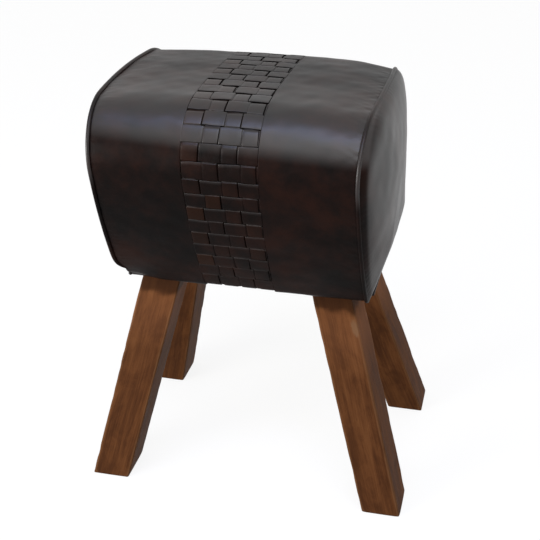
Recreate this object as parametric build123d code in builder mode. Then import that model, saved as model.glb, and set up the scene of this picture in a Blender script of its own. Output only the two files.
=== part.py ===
from build123d import *
from collections import namedtuple
from math import acos, atan2, ceil, cos, hypot, pi, sin, sqrt
import os

# A leather bar stool with a woven band round its seat and four splayed wooden legs.
# Millimetres, +Z up. X runs along the seat, the front is at -Y, and the floor is Z = 0.

# Overall seat
seat_top_height = 680
seat_bottom_height = 375
seam_spacing = 406
top_corner_depth = 361.6
bottom_corner_depth = 229
crown_rise = 13.3
side_bulge = 16.2
top_corner_radius = 85
bottom_corner_radius = 14

# Seat ends
end_bow_radius = 1860
end_bulge = 29
end_dome_power = 2.5
end_middle_share = 0.646
end_rim_height = 3.5
end_rim_radius = 1.4
end_face_step = 16
rim_steps = 12

# Leather and cloth
leather_thickness = 1.5
foam_gap = 0.3
piping_width = 4
piping_height = 2
piping_round = 1.2
hem_margin = 14
cover_thickness = 0.8
cover_lap = 6
cover_leg_gap = 0.5

# Woven band
band_width = 112
column_count = 4
strap_width = 20.5
strap_thickness = 1.7
row_count = 37
row_gap = 1.8
band_edge_gap = 0.4
weave_depth = 3.1
lining_thickness = 0.8
lining_gap = 0.2

# Carcass
base_thickness = 18
base_edge_inset = 2
end_wrap = 18
end_board_thickness = 15
side_board_thickness = 12
top_board_thickness = 15
top_foam_thickness = 55
top_side_wrap = 26

# Legs
foot_spread_length = 544
foot_spread_width = 352
leg_length_section = 64.5
leg_width_section = 67
leg_arris_radius = 2.5
foot_arris = 1.5
leg_end_inset = 15.5
leg_hem_gap = 2.3

# Leg fixings
bolt_diameter = 8
bolt_clearance = 0.5
bolt_spacing = 26
bolt_embedment = 42
bolt_tip = 5
bolt_point_radius = 1.5
bolt_stand = 3
bolt_chamfer = 0.8
washer_diameter = 24
washer_thickness = 2
nut_width = 13
nut_height = 6.5

# Carcass screws
screw_diameter = 4
screw_head_diameter = 8
screw_head_height = 2.5
screw_length = 40
side_screw_length = 32
screw_tip = 4
screw_point_radius = 0.4
screw_spacing = 110
side_screw_share = 0.2

# Overrun for cuts and for the blanks that cuts trim
overrun = 30

# Derived heights and half sizes
board_bottom = seat_bottom_height + leather_thickness
board_top = board_bottom + base_thickness
ceiling_top = seat_top_height - top_foam_thickness
ceiling_bottom = ceiling_top - top_board_thickness
half_seam = seam_spacing / 2
board_half_length = half_seam - end_wrap
top_board_half_depth = top_corner_depth / 2 - top_side_wrap
end_board_middle = board_half_length - end_board_thickness / 2
foam_depth = leather_thickness + foam_gap
lining_depth = weave_depth + lining_gap
relief_depth = lining_depth + lining_thickness + foam_gap
half_band = band_width / 2
column_pitch = band_width / column_count


# The seat's section is a chain of arcs from the crown to the underside: each has its
# centre's y and z, its radius and the angle from +Z at which the next one takes over.
SectionArc = namedtuple("SectionArc", "y z radius end")


def section_arcs():
    corner_y = top_corner_depth / 2
    corner_z = seat_top_height - crown_rise
    foot_y = bottom_corner_depth / 2
    crown_radius = (corner_y**2 + crown_rise**2) / (2 * crown_rise)
    crown_z = seat_top_height - crown_radius
    run = corner_y - foot_y
    rise = corner_z - seat_bottom_height
    chord = hypot(run, rise)
    side_radius = ((chord / 2) ** 2 + side_bulge**2) / (2 * side_bulge)
    reach = side_radius - side_bulge
    side_y = (corner_y + foot_y) / 2 - reach * rise / chord
    side_z = (corner_z + seat_bottom_height) / 2 + reach * run / chord
    crown_reach = crown_radius - top_corner_radius
    side_reach = side_radius - top_corner_radius
    span = hypot(side_y, side_z - crown_z)
    bearing = atan2(side_y, side_z - crown_z)
    cosine = (crown_reach**2 + span**2 - side_reach**2) / (2 * crown_reach * span)
    crown_end = bearing + acos(cosine)
    bend_y = crown_reach * sin(crown_end)
    bend_z = crown_z + crown_reach * cos(crown_end)
    bend_end = atan2(bend_y - side_y, bend_z - side_z)
    turn_z = seat_bottom_height + bottom_corner_radius
    turn_reach = side_radius - bottom_corner_radius
    turn_y = side_y + sqrt(turn_reach**2 - (turn_z - side_z) ** 2)
    side_end = atan2(turn_y - side_y, turn_z - side_z)
    return [
        SectionArc(0, crown_z, crown_radius, crown_end),
        SectionArc(bend_y, bend_z, top_corner_radius, bend_end),
        SectionArc(side_y, side_z, side_radius, side_end),
        SectionArc(turn_y, turn_z, bottom_corner_radius, pi),
    ]


arcs = section_arcs()
flat_half_depth = arcs[-1].y
hem_inner = flat_half_depth - hem_margin
base_half_depth = flat_half_depth - base_edge_inset
leg_top_y = hem_inner - leg_hem_gap - leg_width_section / 2
leg_top_x = board_half_length - leg_end_inset - leg_length_section / 2
end_hem_inner = leg_top_x + leg_length_section / 2 + leg_hem_gap
foot_x = foot_spread_length / 2 - leg_length_section / 2
foot_y = foot_spread_width / 2 - leg_width_section / 2
end_middle = seat_bottom_height + end_middle_share * (seat_top_height - seat_bottom_height)


def arc_point(arc, angle, depth):
    """The (y, z) place on an arc of the section, drawn in by a depth, at an angle from +Z."""
    reach = arc.radius - depth
    return arc.y + reach * sin(angle), arc.z + reach * cos(angle)


def draw_outline(depth, mode=Mode.ADD):
    """Draw the seat's section, drawn in by a depth, in the sketch at hand."""
    crown = arcs[0]
    with BuildLine() as outline:
        ThreePointArc(
            arc_point(crown, -crown.end, depth),
            arc_point(crown, 0, depth),
            arc_point(crown, crown.end, depth),
        )
        for before, arc in zip(arcs, arcs[1:]):
            angles = (before.end, (before.end + arc.end) / 2, arc.end)
            places = [arc_point(arc, angle, depth) for angle in angles]
            ThreePointArc(*places)
            ThreePointArc(*[(-y, z) for y, z in places])
        y, z = arc_point(arcs[-1], pi, depth)
        Line((-y, z), (y, z))
    make_face(outline.edges(), mode=mode)


def draw_shell(outer_depth, inner_depth):
    """Draw a skin of the seat's section that is open under the seat between its hems."""
    draw_outline(outer_depth)
    draw_outline(inner_depth, mode=Mode.SUBTRACT)
    opening_top = seat_bottom_height + inner_depth
    opening_bottom = seat_bottom_height + outer_depth - overrun
    with Locations((0, (opening_top + opening_bottom) / 2)):
        Rectangle(2 * hem_inner, opening_top - opening_bottom, mode=Mode.SUBTRACT)


def bow_sketch(side, far_x, shift):
    """Draw the plan between a level line and a seat end's bowed seam, moved by a shift."""
    middle_x = half_seam + shift
    edge_x = middle_x - end_bow_radius + sqrt(end_bow_radius**2 - half_plan**2)
    with BuildLine() as plan:
        ThreePointArc(
            (side * edge_x, -half_plan), (side * middle_x, 0), (side * edge_x, half_plan)
        )
        Polyline(
            (side * edge_x, half_plan),
            (side * far_x, half_plan),
            (side * far_x, -half_plan),
            (side * edge_x, -half_plan),
        )
    make_face(plan.edges())


half_plan = top_corner_depth / 2 + overrun
face_margin = overrun / 2
face_half = top_corner_depth / 2 + face_margin
plan_plane = Plane.XY.offset(seat_bottom_height - overrun)
plan_height = seat_top_height - seat_bottom_height + 2 * overrun
sides = {"left": -1, "right": 1}
rows_of_legs = {"front": -1, "rear": 1}


def leg_centre(side, front, height):
    """The middle of a leg's level section at a height."""
    share = height / board_bottom
    x = foot_x + (leg_top_x - foot_x) * share
    y = foot_y + (leg_top_y - foot_y) * share
    return side * x, front * y


def revolved_pin(points):
    """A turned pin from its half profile, given as (radius, height) points from the top."""
    with BuildPart() as pin:
        with BuildSketch(Plane.XZ):
            with BuildLine():
                Polyline((0, points[0][1]), *points, (0, points[-1][1]), close=True)
            make_face()
        revolve(axis=Axis.Z)
    return pin.part


def wood_screw(length):
    """A countersunk screw that points down, with its head flush at the origin."""
    return revolved_pin(
        [
            (screw_head_diameter / 2, 0),
            (screw_diameter / 2, -screw_head_height),
            (screw_diameter / 2, screw_tip - length),
            (screw_point_radius, -length),
        ]
    )


# Leg bolt, with its origin where it leaves the leg
bolt_top = base_thickness + washer_thickness + nut_height + bolt_stand
leg_bolt = revolved_pin(
    [
        (bolt_diameter / 2 - bolt_chamfer, bolt_top),
        (bolt_diameter / 2, bolt_top - bolt_chamfer),
        (bolt_diameter / 2, bolt_tip - bolt_embedment),
        (bolt_point_radius, -bolt_embedment),
    ]
)
bolt_places = [
    (side * leg_top_x, front * leg_top_y + step * bolt_spacing / 2)
    for side in (-1, 1)
    for front in (-1, 1)
    for step in (-1, 1)
]

# Side boards lean from the base board's edge to the top board's edge
side_run = top_board_half_depth - base_half_depth
side_rise = ceiling_bottom - board_top
side_lean = atan2(side_run, side_rise)
side_board_level = side_board_thickness / cos(side_lean)

# Screws through the base, top and side boards into the end boards
end_screw = wood_screw(screw_length)
side_screw = wood_screw(side_screw_length)
end_screw_places = [
    (side * end_board_middle, step * screw_spacing / 2) for side in (-1, 1) for step in (-1, 1)
]
base_screws = [Location((x, y, board_bottom), (180, 0, 0)) for x, y in end_screw_places]
top_screws = [Location((x, y, ceiling_top)) for x, y in end_screw_places]


def side_screws(front):
    """Places on a side board's slanted outer face, with Z pointing out of it."""
    places = []
    for side in (-1, 1):
        for share in (side_screw_share, 1 - side_screw_share):
            y = base_half_depth + side_run * share
            z = board_top + side_rise * share
            outward = (0, front * cos(side_lean), -sin(side_lean))
            spot = Plane((side * end_board_middle, front * y, z), x_dir=(1, 0, 0), z_dir=outward)
            places.append(spot.location)
    return places


def cut_band_relief():
    """Sink the seat where the woven band lies, so that the band stays flush with it."""
    with BuildSketch(Plane.YZ.offset(-half_band)) as relief:
        draw_outline(-overrun)
        draw_outline(relief_depth, mode=Mode.SUBTRACT)
    extrude(relief.sketch, amount=band_width, mode=Mode.SUBTRACT)


os.makedirs("parts", exist_ok=True)

with BuildPart() as base_board:
    with BuildSketch(Plane.XY.offset(board_bottom)):
        Rectangle(2 * board_half_length, 2 * base_half_depth)
        with Locations(*bolt_places):
            Circle((bolt_diameter + bolt_clearance) / 2, mode=Mode.SUBTRACT)
    extrude(amount=base_thickness)
    with Locations(*base_screws):
        add(end_screw, mode=Mode.SUBTRACT)
    cut_band_relief()
base_board.part.label = "base_board"
export_step(base_board.part, "parts/base_board.step")

with BuildPart() as top_board:
    with BuildSketch(Plane.XY.offset(ceiling_bottom)):
        Rectangle(2 * board_half_length, 2 * top_board_half_depth)
    extrude(amount=top_board_thickness)
    with Locations(*top_screws):
        add(end_screw, mode=Mode.SUBTRACT)
top_board.part.label = "top_board"
export_step(top_board.part, "parts/top_board.step")

for row, front in rows_of_legs.items():
    with BuildPart() as side_board:
        with BuildSketch(Plane.YZ.offset(-board_half_length)):
            with BuildLine():
                Polyline(
                    (front * base_half_depth, board_top),
                    (front * top_board_half_depth, ceiling_bottom),
                    (front * (top_board_half_depth - side_board_level), ceiling_bottom),
                    (front * (base_half_depth - side_board_level), board_top),
                    close=True,
                )
            make_face()
        extrude(amount=2 * board_half_length)
        with Locations(*side_screws(front)):
            add(side_screw, mode=Mode.SUBTRACT)
    side_board.part.label = f"{row}_board"
    export_step(side_board.part, f"parts/{row}_board.step")

for name, side in sides.items():
    with BuildPart() as end_board:
        with BuildSketch(Plane.YZ.offset(side * board_half_length)):
            low_half = base_half_depth - side_board_level
            high_half = top_board_half_depth - side_board_level
            with BuildLine():
                Polyline(
                    (-low_half, board_top),
                    (-high_half, ceiling_bottom),
                    (high_half, ceiling_bottom),
                    (low_half, board_top),
                    close=True,
                )
            make_face()
        extrude(amount=-side * end_board_thickness)
        with Locations(*base_screws, *top_screws):
            add(end_screw, mode=Mode.SUBTRACT)
        with Locations(*side_screws(-1), *side_screws(1)):
            add(side_screw, mode=Mode.SUBTRACT)
    end_board.part.label = f"{name}_end_board"
    export_step(end_board.part, f"parts/{name}_end_board.step")

with BuildPart() as carcass_screws:
    with Locations(*base_screws, *top_screws):
        add(end_screw)
    with Locations(*side_screws(-1), *side_screws(1)):
        add(side_screw)
carcass_screws.part.label = "carcass_screws"
export_step(carcass_screws.part, "parts/carcass_screws.step")

with BuildPart() as leg_bolts:
    with Locations(*[(x, y, board_bottom) for x, y in bolt_places]):
        add(leg_bolt)
leg_bolts.part.label = "leg_bolts"
export_step(leg_bolts.part, "parts/leg_bolts.step")

with BuildPart() as leg_washers:
    with BuildSketch(Plane.XY.offset(board_top)):
        with Locations(*bolt_places):
            Circle(washer_diameter / 2)
            Circle((bolt_diameter + bolt_clearance) / 2, mode=Mode.SUBTRACT)
    extrude(amount=washer_thickness)
leg_washers.part.label = "leg_washers"
export_step(leg_washers.part, "parts/leg_washers.step")

with BuildPart() as leg_nuts:
    with BuildSketch(Plane.XY.offset(board_top + washer_thickness)):
        with Locations(*bolt_places):
            RegularPolygon(nut_width / 2, 6, major_radius=False)
            Circle(bolt_diameter / 2, mode=Mode.SUBTRACT)
    extrude(amount=nut_height)
leg_nuts.part.label = "leg_nuts"
export_step(leg_nuts.part, "parts/leg_nuts.step")

# Legs lean outward both ways and are cut level at the board and at the floor
for row, front in rows_of_legs.items():
    for name, side in sides.items():
        with BuildPart() as leg:
            with BuildSketch(Plane.XY):
                with Locations(leg_centre(side, front, 0)):
                    Rectangle(leg_length_section, leg_width_section)
            top_x, top_y = leg_centre(side, front, board_bottom)
            lean = Vector(top_x, top_y, board_bottom) - Vector(*leg_centre(side, front, 0))
            extrude(amount=lean.length, dir=lean)
            fillet(leg.edges().filter_by(Axis((0, 0, 0), lean)), leg_arris_radius)
            chamfer(leg.edges().group_by(Axis.Z)[0], foot_arris)
            with Locations(*[(x, y, board_bottom) for x, y in bolt_places]):
                add(leg_bolt, mode=Mode.SUBTRACT)
        leg.part.label = f"{row}_{name}_leg"
        export_step(leg.part, f"parts/{row}_{name}_leg.step")

# Foam over the boards, with a crown on top and rounded shoulders
with BuildPart() as top_foam:
    with BuildSketch(Plane.YZ.offset(-board_half_length)):
        draw_outline(foam_depth)
        with Locations((0, ceiling_top)):
            Rectangle(
                2 * half_plan,
                top_foam_thickness,
                align=(Align.CENTER, Align.MIN),
                mode=Mode.INTERSECT,
            )
    extrude(amount=2 * board_half_length)
    cut_band_relief()
top_foam.part.label = "top_foam"
export_step(top_foam.part, "parts/top_foam.step")

for row, front in rows_of_legs.items():
    with BuildPart() as side_foam:
        with BuildSketch(Plane.YZ.offset(-board_half_length)):
            draw_outline(foam_depth)
            with BuildLine():
                Polyline(
                    (front * half_plan, board_bottom),
                    (front * base_half_depth, board_bottom),
                    (front * base_half_depth, board_top),
                    (front * top_board_half_depth, ceiling_bottom),
                    (front * top_board_half_depth, ceiling_top),
                    (front * half_plan, ceiling_top),
                    close=True,
                )
            make_face(mode=Mode.INTERSECT)
        extrude(amount=2 * board_half_length)
        cut_band_relief()
    side_foam.part.label = f"{row}_foam"
    export_step(side_foam.part, f"parts/{row}_foam.step")


# The seat's ends are domes. Each dome falls from its middle towards the seat's outline,
# level by level, so the outline is kept as (y, z) places from the dome's middle.
def outline_places():
    """Half of the seat's outline, from the crown's middle to the underside's."""
    places = []
    start = 0
    for arc in arcs:
        turn = (arc.end - start) / rim_steps
        places += [arc_point(arc, start + turn * step, 0) for step in range(rim_steps)]
        start = arc.end
    places += [arc_point(arcs[-1], pi, 0), (0, seat_bottom_height)]
    return [(y, z - end_middle) for y, z in places]


outline = outline_places()


def seam_drop(y):
    """How far a seat end's bowed seam falls back at a distance from its middle."""
    return end_bow_radius - sqrt(end_bow_radius**2 - y**2)


def dome_height(y, z):
    """How far a seat end stands out of the middle of its seam at a place."""
    y, z = abs(y), z - end_middle
    for (y0, z0), (y1, z1) in zip(outline, outline[1:]):
        if y * z0 >= z * y0 and y * z1 <= z * y1:
            break
    run, rise = y1 - y0, z1 - z0
    share = (y * rise - z * run) / (y0 * rise - z0 * run)
    rim_drop = seam_drop(y / share) if share else 0
    return end_bulge - (end_bulge - end_rim_height + rim_drop) * share**end_dome_power


def spread(low, high):
    """Even steps over a span, no longer than the ends' step."""
    count = ceil((high - low) / end_face_step)
    return [low + (high - low) * step / count for step in range(count + 1)]


def end_pillow(side, depth):
    """The seat's domed end from the end board outward, drawn in by a depth."""
    levels = spread(seat_bottom_height - face_margin, seat_top_height + face_margin)
    grid = [
        [(side * (half_seam + dome_height(y, z) - depth), y, z) for y in spread(-face_half, face_half)]
        for z in levels
    ]
    dome = Face.make_surface_from_array_of_points(grid)
    reach = end_wrap + end_bulge + overrun
    with BuildPart() as pillow:
        with BuildSketch(Plane.YZ.offset(side * board_half_length)):
            draw_outline(depth)
        extrude(amount=side * reach)
        extrude(dome, amount=reach, dir=(-side, 0, 0), mode=Mode.INTERSECT)
    return pillow.part


def stands_out(face):
    """Whether a round face of the piping is one of those that stand out of the leather."""
    if face.geom_type != GeomType.CYLINDER:
        return False
    crests = [arc.radius + piping_height for arc in arcs]
    return any(abs(face.radius - crest) < piping_height / 2 for crest in crests)


for name, side in sides.items():
    with BuildPart() as end_foam:
        add(end_pillow(side, foam_depth))
    end_foam.part.label = f"{name}_end_foam"
    export_step(end_foam.part, f"parts/{name}_end_foam.step")

    with BuildPart() as body_leather:
        with BuildSketch(Plane.YZ.offset(side * half_band)):
            draw_shell(0, leather_thickness)
        extrude(amount=side * (half_seam - half_band))
        with BuildSketch(plan_plane):
            bow_sketch(side, half_band, -piping_width / 2)
        extrude(amount=plan_height, mode=Mode.INTERSECT)
    body_leather.part.label = f"{name}_body_leather"
    export_step(body_leather.part, f"parts/{name}_body_leather.step")

    with BuildPart() as end_leather:
        add(end_pillow(side, 0))
        fillet(end_leather.faces().filter_by(GeomType.BSPLINE).edges(), end_rim_radius)
        add(end_pillow(side, leather_thickness), mode=Mode.SUBTRACT)
        with BuildSketch(plan_plane):
            bow_sketch(side, half_seam + end_bulge + overrun, piping_width / 2)
        extrude(amount=plan_height, mode=Mode.INTERSECT)
        hem_outer = half_seam + piping_width / 2 + leather_thickness
        with BuildSketch(Plane.XY.offset(seat_bottom_height)):
            with Locations((side * (hem_outer + end_hem_inner) / 2, 0)):
                Rectangle(hem_outer - end_hem_inner, 2 * (hem_inner - foam_gap))
        extrude(amount=leather_thickness)
    end_leather.part.label = f"{name}_end_leather"
    export_step(end_leather.part, f"parts/{name}_end_leather.step")

    with BuildPart() as piping:
        with BuildSketch(Plane.YZ.offset(side * board_half_length)):
            draw_outline(-piping_height)
            draw_outline(leather_thickness, mode=Mode.SUBTRACT)
        extrude(amount=side * (end_wrap + end_bulge))
        with BuildSketch(plan_plane):
            bow_sketch(side, board_half_length - overrun, piping_width / 2)
        extrude(amount=plan_height, mode=Mode.INTERSECT)
        with BuildSketch(plan_plane):
            bow_sketch(side, board_half_length - overrun, -piping_width / 2)
        extrude(amount=plan_height, mode=Mode.SUBTRACT)
        crest = piping.faces().filter_by(stands_out)
        fillet(crest.edges().filter_by(GeomType.LINE, reverse=True), piping_round)
        with BuildSketch(Plane.YZ):
            with Locations((0, seat_bottom_height - overrun)):
                Rectangle(2 * half_plan, overrun, align=(Align.CENTER, Align.MIN))
                Rectangle(
                    2 * hem_inner, overrun + leather_thickness, align=(Align.CENTER, Align.MIN)
                )
        extrude(amount=side * (half_seam + end_bulge), mode=Mode.SUBTRACT)
    piping.part.label = f"{name}_piping"
    export_step(piping.part, f"parts/{name}_piping.step")


# The weave runs on a base curve under the leather's face, from the rear hem over the
# crown to the front hem. Straps run along it, and cross strips lie across it in rows.
def weave_length():
    """The length of the base curve from the crown's middle to a bottom corner."""
    length = 0
    start = 0
    for arc in arcs[:-1]:
        length += (arc.radius - weave_depth) * (arc.end - start)
        start = arc.end
    return length


row_pitch = 2 * weave_length() / row_count
strip_width = row_pitch - row_gap
last_row = (row_count - 1) // 2


def weave_plane(row):
    """A plane on the base curve at a row: X along the seat, Y outward, Z to the front."""
    left = abs(row) * row_pitch
    start = 0
    for arc in arcs:
        radius = arc.radius - weave_depth
        if left <= radius * (arc.end - start):
            break
        left -= radius * (arc.end - start)
        start = arc.end
    angle = start + left / radius
    y, z = arc_point(arc, angle, weave_depth)
    front = -1 if row > 0 else 1
    forward = (0, -cos(angle), front * sin(angle))
    return Plane((0, front * y, z), x_dir=(1, 0, 0), z_dir=forward)


def strap_is_over(row, column):
    """A plain weave: over and under in turn, both along and across the band."""
    return (row + column) % 2 == 0


def strap_edge(column, height):
    """One face of a strap, as (y, z) points from the rear bottom corner to the front one."""
    points = []
    for row in range(-last_row, last_row + 1):
        level = height + (strap_thickness if strap_is_over(row, column) else 0)
        for step in (-1, 1):
            place = weave_plane(row).from_local_coords((0, level, step * strip_width / 2))
            points.append((place.Y, place.Z))
    y, z = arc_point(arcs[-1], arcs[-2].end, weave_depth - height)
    return [(y, z), *points, (-y, z)]


def draw_tail(height, front):
    """Draw one face of a strap's tail, round a bottom corner to the hem, and return its end."""
    start = arcs[-2].end
    angles = (start, (start + pi) / 2, pi)
    places = [arc_point(arcs[-1], angle, weave_depth - height) for angle in angles]
    ThreePointArc(*[(front * y, z) for y, z in places])
    y, z = places[-1]
    Line((front * y, z), (front * hem_inner, z))
    return front * hem_inner, z


for column in range(column_count):
    column_x = (column + 0.5) * column_pitch - half_band
    with BuildPart() as woven_strap:
        with BuildSketch(Plane.YZ.offset(column_x - strap_width / 2)):
            with BuildLine():
                Polyline(*strap_edge(column, 0))
                Polyline(*strap_edge(column, strap_thickness))
                for front in (-1, 1):
                    inner_end = draw_tail(0, front)
                    outer_end = draw_tail(strap_thickness, front)
                    Line(inner_end, outer_end)
            make_face()
        extrude(amount=strap_width)
    woven_strap.part.label = f"woven_strap_{column + 1}"
    export_step(woven_strap.part, f"parts/woven_strap_{column + 1}.step")


def strip_edge(row, height):
    """One face of a cross strip, as (x, height) points across the band."""
    edge = half_band - band_edge_gap
    points = [(-edge, height)]
    for column in range(column_count):
        level = height + (0 if strap_is_over(row, column) else strap_thickness)
        column_x = (column + 0.5) * column_pitch - half_band
        points += [(column_x + step * strap_width / 2, level) for step in (-1, 1)]
    return [*points, (edge, height)]


with BuildPart() as cross_strips:
    for row in range(-last_row, last_row + 1):
        with BuildSketch(weave_plane(row)):
            with BuildLine():
                Polyline(
                    *strip_edge(row, 0),
                    *reversed(strip_edge(row, strap_thickness)),
                    close=True,
                )
            make_face()
        extrude(amount=strip_width / 2, both=True)
cross_strips.part.label = "cross_strips"
export_step(cross_strips.part, "parts/cross_strips.step")

with BuildPart() as band_lining:
    with BuildSketch(Plane.YZ.offset(band_edge_gap - half_band)):
        draw_shell(lining_depth, lining_depth + lining_thickness)
    extrude(amount=band_width - 2 * band_edge_gap)
band_lining.part.label = "band_lining"
export_step(band_lining.part, "parts/band_lining.step")

with BuildPart() as dust_cover:
    with BuildSketch(Plane.XY.offset(seat_bottom_height - cover_thickness)):
        Rectangle(2 * (end_hem_inner + cover_lap), 2 * (hem_inner + cover_lap))
        for side in (-1, 1):
            for front in (-1, 1):
                with Locations(leg_centre(side, front, seat_bottom_height)):
                    Rectangle(
                        leg_length_section + 2 * cover_leg_gap,
                        leg_width_section + 2 * cover_leg_gap,
                        mode=Mode.SUBTRACT,
                    )
    extrude(amount=cover_thickness)
dust_cover.part.label = "dust_cover"
export_step(dust_cover.part, "parts/dust_cover.step")
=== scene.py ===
from math import acos, atan2, cos, hypot, pi, radians, sin, sqrt

import bmesh
import bpy
import numpy as np
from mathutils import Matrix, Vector


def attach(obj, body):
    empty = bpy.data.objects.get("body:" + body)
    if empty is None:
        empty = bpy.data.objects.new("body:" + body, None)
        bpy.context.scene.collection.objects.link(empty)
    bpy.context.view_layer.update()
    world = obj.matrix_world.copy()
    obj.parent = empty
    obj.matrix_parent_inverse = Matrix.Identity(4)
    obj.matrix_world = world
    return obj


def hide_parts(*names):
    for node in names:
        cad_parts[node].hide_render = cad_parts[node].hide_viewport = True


# A leather bar stool with a woven band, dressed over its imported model.
# Metres, +Z up, X along the seat, the front at -Y, the floor at Z = 0.

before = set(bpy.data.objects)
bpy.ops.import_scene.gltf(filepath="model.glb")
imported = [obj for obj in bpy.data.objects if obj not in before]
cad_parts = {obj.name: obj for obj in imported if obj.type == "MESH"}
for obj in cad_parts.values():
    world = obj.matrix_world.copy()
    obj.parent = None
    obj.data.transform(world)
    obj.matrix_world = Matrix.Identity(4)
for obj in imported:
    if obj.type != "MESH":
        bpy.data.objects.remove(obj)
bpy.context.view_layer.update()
print("frame loaded with", len(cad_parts), "nodes")

# The seat's own sizes, as in the part
seat = {
    "topHeight": 0.680,
    "bottomHeight": 0.375,
    "topDepth": 0.3616,
    "bottomDepth": 0.229,
    "crownRise": 0.0133,
    "sideBulge": 0.0162,
    "topRadius": 0.085,
    "bottomRadius": 0.014,
    "halfSeam": 0.203,
    "bowRadius": 1.860,
    "hemMargin": 0.014,
    "leather": 0.0015,
    "halfBand": 0.056,
}
sides = ((-1, "left"), (1, "right"))


# Small tools
def smoothStep(value):
    held = np.clip(value, 0.0, 1.0)
    return held * held * (3 - 2 * held)


def eased(value, start, span):
    # 0 up to the start, and 1 from a span beyond it
    return smoothStep((value - start) / span)


def softNoise(places, grain, seed):
    # A smooth field about zero with waves of about the given length, from seeded directions
    draw = np.random.default_rng(seed)
    total = np.zeros(places.shape[:-1])
    for _ in range(10):
        way = draw.normal(size=places.shape[-1])
        way *= 2 * pi / (np.linalg.norm(way) * grain * draw.uniform(0.7, 1.6))
        total += np.sin(places @ way + draw.uniform(0, 2 * pi))
    return total / 3.2


def linked(name, data):
    made = bpy.data.objects.new(name, data)
    bpy.context.scene.collection.objects.link(made)
    return made


def shadeFaces(mesh, smooth=True):
    for face in mesh.polygons:
        face.use_smooth = smooth


def meshOf(shape, name):
    # The plain mesh of an edited shape, which is freed
    mesh = bpy.data.meshes.new(name)
    shape.to_mesh(mesh)
    shape.free()
    return mesh


def meshPiece(name, points, faces, finish, smooth=True):
    mesh = bpy.data.meshes.new(name)
    mesh.from_pydata([tuple(p) for p in points], [], faces)
    shape = bmesh.new()
    shape.from_mesh(mesh)
    bmesh.ops.recalc_face_normals(shape, faces=shape.faces)
    shape.to_mesh(mesh)
    shape.free()
    shadeFaces(mesh, smooth)
    piece = linked(name, mesh)
    if finish:
        mesh.materials.append(finish)
    return piece


def rectangle(halfX, halfY, level):
    return [(-halfX, -halfY, level), (halfX, -halfY, level), (halfX, halfY, level), (-halfX, halfY, level)]


def gridFaces(rows, columns, first=0, ring=False):
    faces = []
    for i in range(rows - 1):
        for j in range(columns if ring else columns - 1):
            k = (j + 1) % columns
            a = first + i * columns
            faces.append((a + j, a + k, a + columns + k, a + columns + j))
    return faces


def skinShell(outer, inner):
    # A closed skin from two grids of places that lie one over the other
    rows, columns = outer.shape[:2]
    count = rows * columns
    faces = gridFaces(rows, columns) + gridFaces(rows, columns, count)
    rim = [(0, j) for j in range(columns)]
    rim += [(i, columns - 1) for i in range(1, rows)]
    rim += [(rows - 1, j) for j in range(columns - 2, -1, -1)]
    rim += [(i, 0) for i in range(rows - 2, 0, -1)]
    edge = [i * columns + j for i, j in rim]
    for a, b in zip(edge, edge[1:] + edge[:1]):
        faces.append((a, b, b + count, a + count))
    return np.concatenate([outer.reshape(-1, 3), inner.reshape(-1, 3)]), faces


def sweptBar(sections):
    # A closed bar through rings of places, with its ends capped
    rows, columns = sections.shape[:2]
    faces = gridFaces(rows, columns, ring=True)
    faces.append(tuple(range(columns)))
    faces.append(tuple((rows - 1) * columns + j for j in range(columns)))
    return sections.reshape(-1, 3), faces


def joinParts(parts):
    points, faces, count = [], [], 0
    for partPoints, partFaces in parts:
        points.append(partPoints)
        faces += [tuple(count + k for k in face) for face in partFaces]
        count += len(partPoints)
    return np.concatenate(points), faces


def storeValues(piece, name, values):
    layer = piece.data.attributes.new(name, "FLOAT", "POINT")
    layer.data.foreach_set("value", np.asarray(values, np.float32).ravel())


def storePlaces(piece, name, places):
    layer = piece.data.attributes.new(name, "FLOAT_VECTOR", "POINT")
    layer.data.foreach_set("vector", np.asarray(places, np.float32).ravel())


def readPlaces(mesh, what="co"):
    values = np.zeros(len(mesh.vertices) * 3, np.float32)
    mesh.vertices.foreach_get(what, values)
    return values.reshape(-1, 3)


def writePlaces(mesh, places):
    mesh.vertices.foreach_set("co", places.astype(np.float32).ravel())
    mesh.update()


# The seat's section: arcs from the crown to the underside, each (y, z, radius, end angle)
def sectionArcs(form):
    cornerY, footY = form["topDepth"] / 2, form["bottomDepth"] / 2
    cornerZ, footZ = form["topHeight"] - form["crownRise"], form["bottomHeight"]
    crownRadius = (cornerY**2 + form["crownRise"] ** 2) / (2 * form["crownRise"])
    crownZ = form["topHeight"] - crownRadius
    run, rise = cornerY - footY, cornerZ - footZ
    chord = hypot(run, rise)
    sideRadius = ((chord / 2) ** 2 + form["sideBulge"] ** 2) / (2 * form["sideBulge"])
    reach = sideRadius - form["sideBulge"]
    sideY = (cornerY + footY) / 2 - reach * rise / chord
    sideZ = (cornerZ + footZ) / 2 + reach * run / chord
    crownReach, sideReach = crownRadius - form["topRadius"], sideRadius - form["topRadius"]
    span = hypot(sideY, sideZ - crownZ)
    cosine = (crownReach**2 + span**2 - sideReach**2) / (2 * crownReach * span)
    crownEnd = atan2(sideY, sideZ - crownZ) + acos(cosine)
    bendY, bendZ = crownReach * sin(crownEnd), crownZ + crownReach * cos(crownEnd)
    bendEnd = atan2(bendY - sideY, bendZ - sideZ)
    turnZ = footZ + form["bottomRadius"]
    turnReach = sideRadius - form["bottomRadius"]
    turnY = sideY + sqrt(turnReach**2 - (turnZ - sideZ) ** 2)
    sideEnd = atan2(turnY - sideY, turnZ - sideZ)
    return [
        (0.0, crownZ, crownRadius, crownEnd),
        (bendY, bendZ, form["topRadius"], bendEnd),
        (sideY, sideZ, sideRadius, sideEnd),
        (turnY, turnZ, form["bottomRadius"], pi),
    ]


arcs = sectionArcs(seat)
flatHalfDepth = arcs[-1][0]
hemInner = flatHalfDepth - seat["hemMargin"]


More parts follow.
